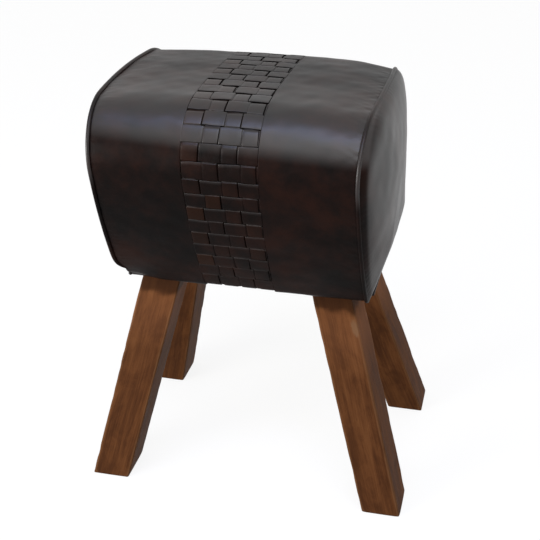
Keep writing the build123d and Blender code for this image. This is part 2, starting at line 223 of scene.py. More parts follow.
def arcsLength(depth, count):
    length, start = 0.0, 0.0
    for _, _, radius, end in arcs[:count]:
        length += (radius - depth) * (end - start)
        start = end
    return length


sectionHalf = arcsLength(0, 4)
hemReach = sectionHalf + seat["hemMargin"]
ringReach = sectionHalf + flatHalfDepth


def sectionAt(along, depth):
    # Places and outward normals on the section, drawn in by a depth, at signed distances
    # from the crown's middle; the front is positive
    left = np.abs(np.asarray(along, float))
    front = np.where(np.asarray(along) > 0, -1.0, 1.0)
    y, z = np.zeros_like(left), np.full_like(left, seat["bottomHeight"] + depth)
    turn, start = np.full_like(left, pi), 0.0
    free = np.ones(left.shape, bool)
    for arcY, arcZ, radius, end in arcs:
        reach = radius - depth
        span = reach * (end - start)
        here = free & (left <= span)
        angle = start + left / reach
        y = np.where(here, arcY + reach * np.sin(angle), y)
        z = np.where(here, arcZ + reach * np.cos(angle), z)
        turn = np.where(here, angle, turn)
        free &= ~here
        left = np.where(free, left - span, left)
        start = end
    y = np.where(free, flatHalfDepth - left, y)
    return front * y, z, front * np.sin(turn), np.cos(turn)


def wrapped(x, along, height, depth=0.0):
    # Places on the seat for flat ones: across the seat, along its section, and above it
    y, z, outY, outZ = sectionAt(along, depth)
    return np.stack([x + 0 * y, y + outY * height, z + outZ * height], -1)


def seamX(y):
    bow = seat["bowRadius"]
    return seat["halfSeam"] - bow + np.sqrt(bow**2 - y**2)


# How the soft seat has settled: crowned along its length, its right end lower, its left
# bottom corners worn in. A pair says where a change starts and over what span, but for "low".
settle = {
    "top": (0.575, 0.085),
    "crown": 0.0058,
    "crownHalf": 0.205,
    "endDrop": 0.0030,
    "rearDrop": 0.0030,
    "dropAlong": (0.125, 0.08),
    "dropBack": (-0.09, 0.19),
    # The right end is drawn in high up and swells low down: by how much, at what height, how widely
    "highPull": (-0.0038, 0.605, 0.045),
    "lowPush": (0.0040, 0.452, 0.028),
    "rightEnd": (0.204, 0.02),
    "leftIn": 0.0024,
    "leftEnd": (0.176, 0.026),
    # The height of the worn bottom edges, and how far up and down the wear spreads
    "low": (0.375, 0.024),
    "beyondBoard": (0.1030, 0.012),
    "corner": (0.184, 0.018),
    "cornerIn": 0.0185,
    "cornerInAtBoard": 0.66,
    "cornerUp": 0.0062,
    "edge": (0.122, 0.052),
    "edgeUp": 0.0078,
}


def settled(places):
    form = settle
    x, y, z = (np.array(places[..., i], float) for i in range(3))
    crown = form["crown"] * np.clip(1 - (x / form["crownHalf"]) ** 2, 0, None)
    fall = form["endDrop"] + form["rearDrop"] * eased(y, *form["dropBack"])
    lift = eased(z, *form["top"]) * (crown - fall * eased(x, *form["dropAlong"]))
    push = 0.0
    for size, level, spread in (form["highPull"], form["lowPush"]):
        push = push + size * np.exp(-(((z - level) / spread) ** 2))
    push = push * eased(x, *form["rightEnd"])
    level, spread = form["low"]
    low = np.exp(-(((z - level) / spread) ** 2))
    # The leather wraps the base board's corners, and is worn in fully only beyond them
    beyond = eased(np.abs(y), *form["beyondBoard"])
    corner = eased(-x, *form["corner"])
    wornIn = form["cornerInAtBoard"] + (1 - form["cornerInAtBoard"]) * beyond
    push = push + form["cornerIn"] * wornIn * low * corner
    push = push + form["leftIn"] * eased(-x, *form["leftEnd"])
    # The bottom edges rise towards the left end
    rise = form["edgeUp"] * eased(-x, *form["edge"]) + form["cornerUp"] * corner
    lift = lift + rise * low * beyond
    return np.stack([x + push, y, z + lift], -1)


# Shader and geometry trees
class Wire:
    # One socket, so that sums on it are written as sums
    def __init__(self, tree, socket):
        self.tree, self.socket = tree, socket

    def sum(self, operation, *others):
        return self.tree.node("ShaderNodeMath", {"operation": operation}, dict(enumerate((self, *others))))

    def beside(self, out):
        # Another output of the same node
        return Wire(self.tree, self.socket.node.outputs[out])

    def __add__(self, other):
        return self.sum("ADD", other)

    def __mul__(self, other):
        return self.sum("MULTIPLY", other)

    def __sub__(self, other):
        return self.sum("SUBTRACT", other)

    def __rsub__(self, other):
        return self.tree.node("ShaderNodeMath", {"operation": "SUBTRACT"}, {0: other, 1: self})

    __radd__, __rmul__ = __add__, __mul__


class Tree:
    def __init__(self, tree):
        self.tree = tree
        self.tree.nodes.clear()

    def feed(self, socket, value):
        if isinstance(value, Wire):
            self.tree.links.new(value.socket, socket)
        else:
            socket.default_value = value

    def node(self, kind, settings=None, inputs=None, out=0):
        made = self.tree.nodes.new(kind)
        for name, value in (settings or {}).items():
            if name == "stops":
                self.setStops(made.color_ramp, value)
            else:
                setattr(made, name, value)
        for name, value in (inputs or {}).items():
            self.feed(made.inputs[name], value)
        return Wire(self, made.outputs[out]) if len(made.outputs) else made

    def parts(self, place):
        made = self.node("ShaderNodeSeparateXYZ", inputs={"Vector": place})
        return [made.beside(out) for out in range(3)]

    def joined(self, **parts):
        return self.node("ShaderNodeCombineXYZ", inputs=parts)

    def vector(self, operation, inputs, out=0):
        return self.node("ShaderNodeVectorMath", {"operation": operation}, inputs, out)

    def setStops(self, ramp, stops):
        while len(ramp.elements) < len(stops):
            ramp.elements.new(1.0)
        for element, (place, colour) in zip(ramp.elements, stops):
            element.position = place
            element.color = (*colour, 1)


class Finish(Tree):
    def __init__(self, name):
        self.material = bpy.data.materials.new(name)
        self.material.use_nodes = True
        super().__init__(self.material.node_tree)

    def objectPlace(self):
        return self.node("ShaderNodeTexCoord", out="Object")

    def attribute(self, name, out="Fac"):
        return self.node("ShaderNodeAttribute", {"attribute_name": name}, out=out)

    def stretched(self, place, scale, location=(0, 0, 0)):
        inputs = {"Vector": place, "Location": location, "Scale": scale}
        return self.node("ShaderNodeMapping", inputs=inputs)

    def noise(self, place, scale, detail=3.0, roughness=0.55, distortion=0.0, out="Fac"):
        inputs = {"Vector": place, "Scale": scale, "Detail": detail}
        inputs.update({"Roughness": roughness, "Distortion": distortion})
        return self.node("ShaderNodeTexNoise", {"noise_dimensions": "3D"}, inputs, out)

    def ramp(self, value, stops):
        return self.node("ShaderNodeValToRGB", {"stops": stops}, {"Fac": value})

    def window(self, value, low, high):
        # 0 below low, 1 above high, smooth between
        inputs = {"Value": value, "From Min": low, "From Max": high}
        return self.node("ShaderNodeMapRange", {"interpolation_type": "SMOOTHSTEP"}, inputs)

    def mixColour(self, share, first, second, blend="MIX"):
        settings = {"data_type": "RGBA", "blend_type": blend}
        made = self.node("ShaderNodeMix", settings, {0: share}, 2)
        for place, value in ((6, first), (7, second)):
            if not isinstance(value, Wire):
                value = (*value, 1)
            self.feed(made.socket.node.inputs[place], value)
        return made

    def polish(self, place):
        look = leatherLook
        across, back, level = self.parts(place)
        above = self.window(level + across * look["polishTilt"], *look["polishHeight"])
        above = above * (1 - self.window(back, *look["dullBack"]) * look["dull"])
        # Beyond the end seams the polish is nearly the same from top to bottom
        beyond = self.window(across.sum("ABSOLUTE"), *look["seam"])
        ends = self.window(level, *look["endHeight"]) * look["endFade"] + (1 - look["endFade"])
        return above * (1 - beyond) + beyond * ends * look["endPolish"]

    def bump(self, height, distance, strength=1.0, under=None):
        inputs = {"Height": height, "Distance": distance, "Strength": strength}
        if under:
            inputs["Normal"] = under
        return self.node("ShaderNodeBump", inputs=inputs)

    def surface(self, values):
        shader = self.node("ShaderNodeBsdfPrincipled", inputs=values)
        self.node("ShaderNodeOutputMaterial", inputs={"Surface": shader})
        return self.material


# Finishes
leatherLook = {
    "black": (0.0034, 0.0025, 0.0023),
    "brown": (0.0095, 0.0045, 0.0036),
    "red": (0.0180, 0.0068, 0.0046),
    "warmTile": (0.032, 0.0112, 0.0047),
    "darkTile": (0.0030, 0.0023, 0.0022),
    # Near-black for dyed cut edges, and for painted shade on them and at the seams
    "cutEdgeAndShade": (0.0008, 0.0007, 0.0007),
    "specular": 0.05,
    "polishRough": 0.36,
    # Noise: scale, detail, roughness and distortion
    "cloud": (9.0, 4.0, 0.6, 0.4),
    "blotch": (34.0, 5.0, 0.62),
    "grain": (260.0, 4.0, 0.6),
    "creases": (95.0, 3.0, 0.5, 1.1),
    "rub": (21.0, 4.0, 0.6),
    "pores": 620.0,
    "grainDepth": 0.00022,
    "creaseDepth": 0.0012,
    # Polish where the seat is handled: the bends, the top duller to the rear, and the ends.
    # A pair says from where to where a change goes.
    "polishHeight": (0.623, 0.645),
    "polishTilt": 0.040,
    "dullBack": (-0.165, 0.030),
    "dull": 0.74,
    "seam": (0.2045, 0.2090),
    "endHeight": (0.40, 0.54),
    "endFade": 0.3,
    "endPolish": 0.485,
    "pipingHeight": (0.555, 0.595),
    "pipingPolish": 0.85,
    "pipingTop": (0.630, 0.660),
    "pipingTopDull": 0.55,
    # Cut edges are dyed dark and get painted groove shade, full on the top and fading below it; turned ones
    # are rubbed less towards the bottom
    "cutShadeHeight": (0.585, 0.64),
    "cutShadeFade": 0.6,
    "tileEdge": 0.7,
    "tileEdgeHeight": (0.39, 0.52),
    "tileEdgeFade": 0.7,
}


def leatherFinish(name, woven=False, piping=False):
    made, look = Finish(name), leatherLook
    place = made.objectPlace()
    cloud = made.noise(place, *look["cloud"])
    blotch = made.noise(made.stretched(place, (1, 1, 1), (3, 1, 7)), *look["blotch"])
    share = made.window(cloud * 0.62 + blotch * 0.38, 0.36, 0.68)
    colour = made.ramp(share, [(0.0, look["black"]), (0.5, look["brown"]), (1.0, look["red"])])
    if woven:
        tone = made.attribute("tone")
        colour = made.mixColour(made.window(tone, 0.45, 1.0) * 0.7, colour, look["warmTile"])
        colour = made.mixColour(made.window(tone, 0.45, 0.0) * 0.35, colour, look["darkTile"])
    pores = made.node("ShaderNodeTexVoronoi", {"feature": "DISTANCE_TO_EDGE"},
                      {"Vector": place, "Scale": look["pores"], "Randomness": 1.0})
    skin = made.window(pores, 0.0, 0.12) * 0.35 + made.noise(place, *look["grain"]) * 0.65
    normal = made.bump(skin, look["grainDepth"], 0.5)
    if not woven:
        crease = made.attribute("crease")
        lines = made.noise(made.stretched(place, (1.0, 0.55, 1.0)), *look["creases"])
        normal = made.bump(crease * lines, look["creaseDepth"], 0.5, normal)
    rough = made.noise(made.stretched(place, (1, 1, 1), (5, 2, 4)), *look["rub"])
    level = made.parts(place)[2]
    if piping:
        polish = made.window(level, *look["pipingHeight"]) * look["pipingPolish"]
        polish = polish * (1 - made.window(level, *look["pipingTop"]) * look["pipingTopDull"])
    else:
        polish = made.polish(place)
        # Black and dull: the dyed cut edges, and painted shade on them and at the seams
        dark = made.attribute("dark")
        if woven:
            # On the weave the painted shade on the cut edges is full on the top and fades below it
            fade = look["cutShadeFade"]
            dark = dark * (made.window(level, *look["cutShadeHeight"]) * fade + (1 - fade))
        colour = made.mixColour(dark * 0.9, colour, look["cutEdgeAndShade"])
        polish = polish * (1 - dark)
    if woven:
        # The turned far edges of the tiles are rubbed bright
        fade = look["tileEdgeFade"]
        worn = made.window(level, *look["tileEdgeHeight"]) * fade + (1 - fade)
        polish = polish.sum("MAXIMUM", made.attribute("edge") * worn * look["tileEdge"])
    return made.surface({
        "Base Color": colour,
        "Roughness": rough * 0.16 + 0.33,
        "Specular IOR Level": look["specular"],
        "Coat Weight": polish,
        "Coat Roughness": look["polishRough"],
        "Coat IOR": 1.5,
        "Normal": normal,
    })


woodLook = {
    "timber": [
        (0.0, (0.042, 0.0160, 0.0070)),
        (0.35, (0.076, 0.0280, 0.0108)),
        (0.55, (0.115, 0.0430, 0.0155)),
        (0.78, (0.150, 0.0590, 0.0215)),
        (1.0, (0.200, 0.0830, 0.0320)),
    ],
    "pore": (0.018, 0.0075, 0.004),
    "rubbed": (0.20, 0.095, 0.042),
    # Painted light for the upper legs
    "lighter": (0.26, 0.105, 0.046),
    "raw": (0.22, 0.12, 0.062),
    # Painted shadow of the seat on the tops of the legs
    "grime": (0.022, 0.0085, 0.004),
    # Noise: scales across, through and along the timber, then detail, roughness and distortion
    "wander": ((9, 9, 4), 2.0, 0.5),
    "wanderBy": (0.016, 0.016, 0.0),
    "figure": ((75, 75, 5), 4.0, 0.6, 0.6),
    "cloud": ((24, 24, 13), 4.0, 0.62, 1.2),
    "streak": ((420, 420, 11), 4.0, 0.65),
    "pores": ((1500, 1500, 55), 2.0, 0.5),
    "rub": ((60, 60, 26), 4.0, 0.7),
}


def woodFinish(name):
    made, look = Finish(name), woodLook
    place = made.attribute("grainPlace", "Vector")

    def pattern(name, place, out="Fac"):
        scales, *rest = look[name]
        return made.noise(made.stretched(place, scales), 1.0, *rest, out=out)

    wander = pattern("wander", place, "Color")
    moved = made.vector("MULTIPLY_ADD", {0: wander, 1: look["wanderBy"], 2: place})
    figure, cloud = pattern("figure", moved), pattern("cloud", place)
    streak, pores = pattern("streak", moved), pattern("pores", moved)
    share = figure * 0.42 + cloud * 0.34 + streak * 0.24
    colour = made.ramp(made.window(share, 0.18, 0.84), look["timber"])
    colour = made.mixColour(made.window(pores, 0.60, 0.74) * 0.45, colour, look["pore"])
    rub = pattern("rub", place)
    rubbed = made.window(made.attribute("worn") + rub * 0.9, 1.05, 1.5)
    colour = made.mixColour(rubbed * 0.5, colour, look["rubbed"])
    # Painted light: higher up, and most on their sides, the legs are lightened
    paintedLitColour = made.mixColour(1.0, colour, look["lighter"], "ADD")
    colour = made.mixColour(made.attribute("lighter") * 0.55, colour, paintedLitColour)
    raw = made.window(made.attribute("raw") + rub * 0.8, 0.95, 1.25)
    colour = made.mixColour(raw * 0.7, colour, look["raw"])
    # Painted shadow of the seat on the tops of the legs
    colour = made.mixColour(made.attribute("grime") * 0.72, colour, look["grime"])
    height = streak * 0.5 + pores * -0.4 + raw * -0.5
    return made.surface({
        "Base Color": colour,
        "Roughness": figure * 0.2 + raw * 0.2 + 0.48,
        "Specular IOR Level": 0.03,
        "Normal": made.bump(height, 0.0004, 0.6),
    })


def foamFinish(name):
    made = Finish(name)
    place = made.objectPlace()
    cells = made.node("ShaderNodeTexVoronoi", {"feature": "F1"}, {"Vector": place, "Scale": 900.0})
    cloud = made.noise(place, 30.0, 4.0)
    colour = made.ramp(cloud, [(0.3, (0.66, 0.57, 0.36)), (0.7, (0.76, 0.68, 0.46))])
    return made.surface({
        "Base Color": colour,
        "Roughness": 0.95,
        "Specular IOR Level": 0.2,
        "Normal": made.bump(cells, 0.0006, 0.7),
    })


def plywoodFinish(name, layers):
    # layers is the way across the sheets
    made = Finish(name)
    place = made.objectPlace()
    across = made.vector("DOT_PRODUCT", {0: place, 1: layers}, "Value")
    sheet = made.node("ShaderNodeMath", {"operation": "PINGPONG"}, {0: across * 1000.0, 1: 1.5})
    figure = made.noise(made.stretched(place, (6, 60, 60)), 1.0, 4.0, 0.6, 0.8)
    colour = made.ramp(figure, [(0.3, (0.40, 0.26, 0.13)), (0.7, (0.60, 0.43, 0.25))])
    colour = made.mixColour(made.window(sheet, 0.55, 0.95) * 0.35, colour, (0.25, 0.14, 0.07))
    return made.surface({
        "Base Color": colour,
        "Roughness": figure * 0.15 + 0.62,
        "Normal": made.bump(figure, 0.0003, 0.5),
    })


def steelFinish(name):
    made = Finish(name)
    place = made.objectPlace()
    film = made.noise(place, 160.0, 4.0)
    colour = made.ramp(film, [(0.35, (0.42, 0.42, 0.41)), (0.65, (0.62, 0.62, 0.60))])
    return made.surface({
        "Base Color": colour,
        "Metallic": 1.0,
        "Roughness": film * 0.2 + 0.24,
        "Normal": made.bump(made.noise(place, 900.0, 2.0), 0.0001, 0.4),
    })


def clothFinish(name, colour, thread):
    made = Finish(name)
    place = made.objectPlace()
    waves = []
    for way in ("X", "Y"):
        settings = {"wave_type": "BANDS", "bands_direction": way}
        inputs = {"Vector": place, "Scale": thread, "Distortion": 0.6, "Detail": 1.0}
        waves.append(made.node("ShaderNodeTexWave", settings, inputs, "Fac"))
    weave = waves[0] * waves[1]
    fibre = made.noise(place, 420.0, 4.0, 0.7)
    pale = tuple(part * 1.7 for part in colour)
    return made.surface({
        "Base Color": made.mixColour(weave * 0.5 + fibre * 0.4, colour, pale),
        "Roughness": 0.9,
        "Specular IOR Level": 0.25,
        "Normal": made.bump(weave * 0.7 + fibre * 0.5, 0.0004, 0.7),
    })


leather = leatherFinish("leather")
wovenLeather = leatherFinish("wovenLeather", woven=True)
pipingLeather = leatherFinish("pipingLeather", piping=True)
wood = woodFinish("wood")
foam = foamFinish("foam")
steel = steelFinish("zincSteel")
liningCloth = clothFinish("liningCloth", (0.011, 0.0095, 0.008), 330.0)
coverCloth = clothFinish("coverCloth", (0.0045, 0.0045, 0.005), 210.0)
print("finishes made")


# Leather of the seat's body, left and right of the band
bodyLeather = {
    "along": 520,
    "across": 76,
    "crowding": 1.6,
    "bandGap": 0.0002,
    "pipingHalf": 0.0010,
    "seamTuck": 0.0022,
    "seamRoll": 0.0032,
    "bandTuck": 0.0002,
    "bandRoll": 0.0005,
    "unevenness": 0.00032,
    "waves": (0.075, 0.030),
    "pucker": 0.00022,
    "puckerReach": 0.016,
    "puckerGrain": 0.0085,
    "seamSink": 0.0009,
    "seamSinkReach": 0.011,
    "seamShade": 0.0017,
    "hemBlend": 0.004,
}


def rolledEdge(distance, roll, tuck):
    # A turned-in edge: full height from the roll inward, down by the tuck at the edge
    share = 1 - np.clip(distance / roll, 0.0, 1.0)
    return -tuck * (1 - np.sqrt(1 - share**2))


def makeBodyLeather(side, name):
    form = bodyLeather
    along = np.linspace(-hemReach, hemReach, form["along"])[:, None]
    y = sectionAt(along, 0)[0]
    # Columns crowd towards both edges, where the leather turns in
    share = np.linspace(0, 1, form["across"])
    crowded = form["crowding"] * (0.5 - 0.5 * np.cos(pi * share))
    share = ((share + crowded) / (1 + form["crowding"]))[None, :]
    inner = seat["halfBand"] - form["bandGap"]
    outer = seamX(y) - form["pipingHalf"]
    x = inner + (outer - inner) * share
    seamAway, bandAway = outer - x, x - inner
    flat = np.stack([side * x, along + 0 * x], -1)
    broad, fine = form["waves"]
    height = form["unevenness"] * softNoise(flat, broad, 11 + side)
    height += 0.4 * form["unevenness"] * softNoise(flat, fine, 21 + side)
    near = np.exp(-seamAway / form["puckerReach"])
    lines = softNoise(np.stack([flat[..., 0] * 0.35, flat[..., 1]], -1), form["puckerGrain"], 31 + side)
    height += form["pucker"] * near * lines
    height -= form["seamSink"] * np.exp(-seamAway / form["seamSinkReach"])
    height += rolledEdge(seamAway, form["seamRoll"], form["seamTuck"])
    height += rolledEdge(bandAway, form["bandRoll"], form["bandTuck"])
    under = eased(np.abs(along), sectionHalf, form["hemBlend"])
    height *= 1 - under
    outside = wrapped(side * x, along, height)
    inside = wrapped(side * x, along, np.minimum(height, 0) - seat["leather"])
    points, faces = skinShell(settled(outside), settled(inside))
    piece = meshPiece(name, points, faces, leather)
    crease = near * (1 - under) + 0.10
    storeValues(piece, "crease", np.tile(crease.ravel(), 2))
    # Painted shade in the seam beside the piping, on the body's side
    seam = np.exp(-((seamAway / form["seamShade"]) ** 2)) * (1 - under)
    storeValues(piece, "dark", np.tile(seam.ravel(), 2))
    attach(piece, "root")
    return piece


for side, word in sides:
    makeBodyLeather(side, word + "BodyLeather")
    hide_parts(word + "_body_leather")
print("body leather made")


# Leather of the seat's ends
endLeather = {
    "round": 460,
    "rings": 54,
    "middleZ": 0.572,
    "meanHalf": 0.165,
    "ringShare": 0.985,
    # The first rings turn in under the piping: how far from the seam, and how high
    "turned": ((0.0022, 0.0), (0.0004, 0.0006), (-0.0002, 0.0012)),
    "domeLift": 0.0002,
    "rim": 0.0014,
    # For each end: rim roll and its width, then the whole rise and the dome's power
    "swell": {-1: (0.0010, 0.005, 0.0290, 2.45), 1: (0.0080, 0.0070, 0.0290, 2.4)},
    "rollFrom": 0.38,
    "rollTo": 0.48,
    "unevenness": 0.00045,
    "waves": (0.085, 0.034),
    "wavesFrom": 0.02,
    "pucker": 0.00020,
    "puckerReach": 0.012,
    "puckerGrain": 0.0085,
    "flapReach": 0.1718,
    "flapOver": 0.004,
    "flapGap": 0.0003,
    "flapUneven": 0.0002,
    "flapWave": 0.03,
    # A line of painted shade beside the seam at the rear top corner: its width from the seam, then where it
    # starts towards the rear and upward, each with the span over which it comes in
    "gap": 0.0022,
    "gapShadeBack": (0.10, 0.04),
    "gapShadeHeight": (0.58, 0.04),
}
# How far each ring lies from the seam, crowded towards it
ringSteps = endLeather["meanHalf"] * (1 - np.cos(np.linspace(0.0, pi / 2, endLeather["rings"])))[1:]


def endGrid(side, along, depth):
    # Rings of places on an end from its seam to its middle, drawn in by a depth
    form = endLeather
    roll, width, rise, power = form["swell"][side]
    y0, z0, _, _ = sectionAt(along, 0)
    # The roll beside the seam fades towards the bottom corners
    full = eased(z0, form["rollFrom"], form["rollTo"] - form["rollFrom"])
    rim = form["rim"] + roll * full
    steps = ringSteps[:, None]
    share = (1 - steps / form["meanHalf"]) ** power
    drop = seat["halfSeam"] - seamX(y0)
    swell = rise - (rise - rim + drop) * share - roll * full * np.exp(-steps / width)
    turnedAway, turnedHeight = (np.array(row)[:, None] for row in zip(*form["turned"]))
    height = np.concatenate([turnedHeight - drop, swell + form["domeLift"]])
    away = np.concatenate([turnedAway, steps * form["ringShare"]])
    alongAway = np.gradient(away, axis=0)
    alongHeight = np.gradient(height, axis=0)
    size = np.hypot(alongAway, alongHeight)
    away = away + depth * alongHeight / size
    height = height - depth * alongAway / size
    scale = 1 - away / form["meanHalf"]
    y, z = y0 * scale, form["middleZ"] + (z0 - form["middleZ"]) * scale
    return np.stack([side * (seat["halfSeam"] + bodyLeather["pipingHalf"] + height), y, z], -1)


def cappedRings(outside, inside):
    # A closed skin from two sets of rings, joined at their first ring and closed at their last
    rows, columns = outside.shape[:2]
    count = rows * columns
    faces = gridFaces(rows, columns, ring=True) + gridFaces(rows, columns, count, ring=True)
    last = (rows - 1) * columns
    for j in range(columns):
        k = (j + 1) % columns
        faces.append((j, k, count + k, count + j))
        faces.append((last + j, last + k, 2 * count))
        faces.append((count + last + j, count + last + k, 2 * count + 1))
    hubs = [outside[-1].mean(0), inside[-1].mean(0)]
    return np.concatenate([outside.reshape(-1, 3), inside.reshape(-1, 3), hubs]), faces


def makeEndLeather(side, name):
    form = endLeather
    along = np.linspace(-ringReach, ringReach, form["round"], endpoint=False)
    outside, inside = (endGrid(side, along, depth) for depth in (0.0, seat["leather"]))
    flat = outside[..., 1:]
    away = np.concatenate([np.zeros(len(form["turned"])), ringSteps])[:, None]
    broad, fine = form["waves"]
    wave = form["unevenness"] * softNoise(flat, broad, 41 + side)
    wave += 0.4 * form["unevenness"] * softNoise(flat, fine, 51 + side)
    near = np.exp(-away / form["puckerReach"])
    lines = softNoise(along[:, None], form["puckerGrain"], 61 + side)[None, :]
    wave = wave * smoothStep(away / form["wavesFrom"]) + form["pucker"] * near * lines
    for grid in (outside, inside):
        grid[..., 0] += side * wave
    points, faces = cappedRings(settled(outside), settled(inside))
    crease = np.broadcast_to(near, wave.shape).ravel()
    # The flap that is stapled under the seat
    flapHalf = hemInner - form["flapGap"]
    flapX = np.linspace(form["flapReach"], seat["halfSeam"] + form["flapOver"], 14)[:, None]
    flapY = np.linspace(-flapHalf, flapHalf, 60)[None, :]
    flapPlaces = np.stack([flapX + 0 * flapY, flapY + 0 * flapX], -1)
    level = seat["bottomHeight"] + form["flapUneven"] * softNoise(flapPlaces, form["flapWave"], 71)
    low = np.stack([side * flapPlaces[..., 0], flapPlaces[..., 1], level], -1)
    low[..., 0] = settled(low)[..., 0]
    flap = skinShell(low, low + np.array([0, 0, seat["leather"]]))
    points, faces = joinParts([(points, faces), flap])
    piece = meshPiece(name, points, faces, leather)
    # Painted shade beside the seam at the rear top corner
    gap = np.exp(-((away / form["gap"]) ** 2)) * eased(flat[..., 0], *form["gapShadeBack"])
    gap = (gap * eased(flat[..., 1], *form["gapShadeHeight"])).ravel()
    hubsAndFlap = np.zeros(2 + len(flap[0]))
    storeValues(piece, "crease", np.concatenate([crease, crease, hubsAndFlap]))
    storeValues(piece, "dark", np.concatenate([gap, gap, hubsAndFlap]))
    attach(piece, "root")
    return piece


for side, word in sides:
    makeEndLeather(side, word + "EndLeather")
    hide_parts(word + "_end_leather")
print("end leather made")


# Geometry node trees
class Pattern(Tree):
    # A tree for a modifier, with named inputs; run() turns the result into a plain mesh
    def __init__(self, name):
        self.group = bpy.data.node_groups.new(name, "GeometryNodeTree")
        self.sockets = {}
        super().__init__(self.group)
        self.addSocket("Geometry", "Geometry")
        self.group.interface.new_socket("Geometry", in_out="OUTPUT", socket_type="NodeSocketGeometry")

    def addSocket(self, name, kind, value=None):
        made = self.group.interface.new_socket(name, in_out="INPUT", socket_type="NodeSocket" + kind)
        if value is not None:
            made.default_value = value
        self.sockets[name] = made.identifier

    def start(self):
        self.entry = self.tree.nodes.new("NodeGroupInput")

    def given(self, name):
        return Wire(self, self.entry.outputs[name])

    def givenObject(self, name):
        inputs = {"Object": self.given(name)}
        return self.node("GeometryNodeObjectInfo", {"transform_space": "ORIGINAL"}, inputs, "Geometry")

    def drawn(self, seed):
        # A random number from -1 to 1
        inputs = {2: -1.0, 3: 1.0, "Seed": seed}
        return self.node("FunctionNodeRandomValue", {"data_type": "FLOAT"}, inputs, 1)

    def unevenness(self, scale):
        # A vector of noise about zero at each place
        place = self.node("GeometryNodeInputPosition")
        inputs = {"Vector": place, "Scale": scale, "Detail": 2.0}
        wave = self.node("ShaderNodeTexNoise", inputs=inputs, out="Color")
        return self.vector("SUBTRACT", {0: wave, 1: (0.5, 0.5, 0.5)})

    def shifted(self, geometry, offset):
        return self.node("GeometryNodeSetPosition", inputs={"Geometry": geometry, "Offset": offset})

    def curve(self, mesh):
        return self.node("GeometryNodeMeshToCurve", inputs={"Mesh": mesh})

    def tube(self, line, rounding, radius):
        inputs = {"Resolution": rounding, "Radius": radius}
        ring = self.node("GeometryNodeCurvePrimitiveCircle", inputs=inputs)
        inputs = {"Curve": line, "Profile Curve": ring, "Fill Caps": True}
        return self.node("GeometryNodeCurveToMesh", inputs=inputs)

    def finish(self, geometry, material):
        plain = self.node("GeometryNodeRealizeInstances", inputs={"Geometry": geometry})
        smooth = self.node("GeometryNodeSetShadeSmooth", inputs={"Geometry": plain})
        shown = self.node("GeometryNodeSetMaterial", inputs={"Geometry": smooth, "Material": material})
        end = self.tree.nodes.new("NodeGroupOutput")
        self.tree.links.new(shown.socket, end.inputs[0])

    def run(self, carrier, name, values):
        modifier = carrier.modifiers.new("pattern", "NODES")
        modifier.node_group = self.group
        for key, value in values.items():
            modifier[self.sockets[key]] = value
        graph = bpy.context.evaluated_depsgraph_get()
        mesh = bpy.data.meshes.new_from_object(carrier.evaluated_get(graph), depsgraph=graph)
        mesh.name = name
        bpy.data.objects.remove(carrier)
        return linked(name, mesh)


def pathPiece(name, points, closed=False):
    # A mesh of edges only, for a tree to follow
    mesh = bpy.data.meshes.new(name)
    edges = [(i, i + 1) for i in range(len(points) - 1)]
    if closed:
        edges.append((len(points) - 1, 0))
    mesh.from_pydata([tuple(p) for p in points], edges, [])
    return linked(name, mesh)


# Piping in the end seams
piping = {
    "radius": 0.0031,
    "lift": -0.0004,
    "sides": 14,
    "points": 620,
    "wobble": 0.00035,
    "wobbleScale": 38.0,
    # Its tails are pressed flat under the seat: over what stretch of the section, and how far
    "tail": (-0.004, 0.010),
    "tailPressed": 0.0027,
}


def pipingPattern():
    made = Pattern("pipingPattern")
    made.addSocket("Radius", "Float", piping["radius"])
    made.addSocket("Sides", "Int", piping["sides"])
    made.addSocket("Wobble", "Float", piping["wobble"])
    made.start()
    shift = made.vector("SCALE", {0: made.unevenness(piping["wobbleScale"]), "Scale": made.given("Wobble")})
    line = made.curve(made.shifted(made.given("Geometry"), shift))
    made.finish(made.tube(line, made.given("Sides"), made.given("Radius")), pipingLeather)
    return made


pipingTree = pipingPattern()
along = np.linspace(-hemReach, hemReach, piping["points"])
seamLine = seamX(sectionAt(along, 0)[0])
lift = piping["lift"] - piping["tailPressed"] * eased(np.abs(along) - sectionHalf, *piping["tail"])
for side, word in sides:
    places = settled(wrapped(side * seamLine, along, lift))
    cordPiece = pipingTree.run(pathPiece("pipingPath", places), word + "Piping", {})
    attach(cordPiece, "root")
    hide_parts(word + "_piping")
print("piping made")


# The woven band: straps along the seat, and cross strips over and under them
weave = {
    "columns": 4,
    "rows": 37,
    "depth": 0.0031,
    "thickness": 0.0016,
    "strapWidth": 0.0222,
    "across": 7,
    # How long a strip takes to climb over a strap, and what it keeps clear of it
    "climb": 0.0022,
    "climbGap": 0.0001,
    "stripSteps": 121,
    # How long a strap takes to dive under the next strip, on the sides and on the top
    "dive": 0.0013,
    "diveTop": 0.0048,
    "topShare": (0.02, 0.04),
    "sunk": 0.1,
    "bow": 0.00025,
    "rowGap": 0.0009,
    "edgeRound": 0.0009,
    "edgeCut": 0.0004,
    "crown": 0.00010,
    "wander": 0.0009,
    "wanderWave": 0.17,
    "widening": 0.03,
    "wideningWave": 0.06,
    "turn": 0.011,
    "uneven": (0.0, 0.0035, 0.0012),
    "unevenScale": 45.0,
    "endReach": 0.0566,
    "endGap": 0.0003,
    "strapGap": 0.0002,
    "strapTones": (0.62, 0.50, 0.40, 0.50),
    "stripTone": 0.42,
    "toneSpread": 0.12,
}
columnPitch = 2 * seat["halfBand"] / weave["columns"]
rowPitch = 2 * arcsLength(weave["depth"], 3) / weave["rows"]
stripWidth = rowPitch - weave["rowGap"]


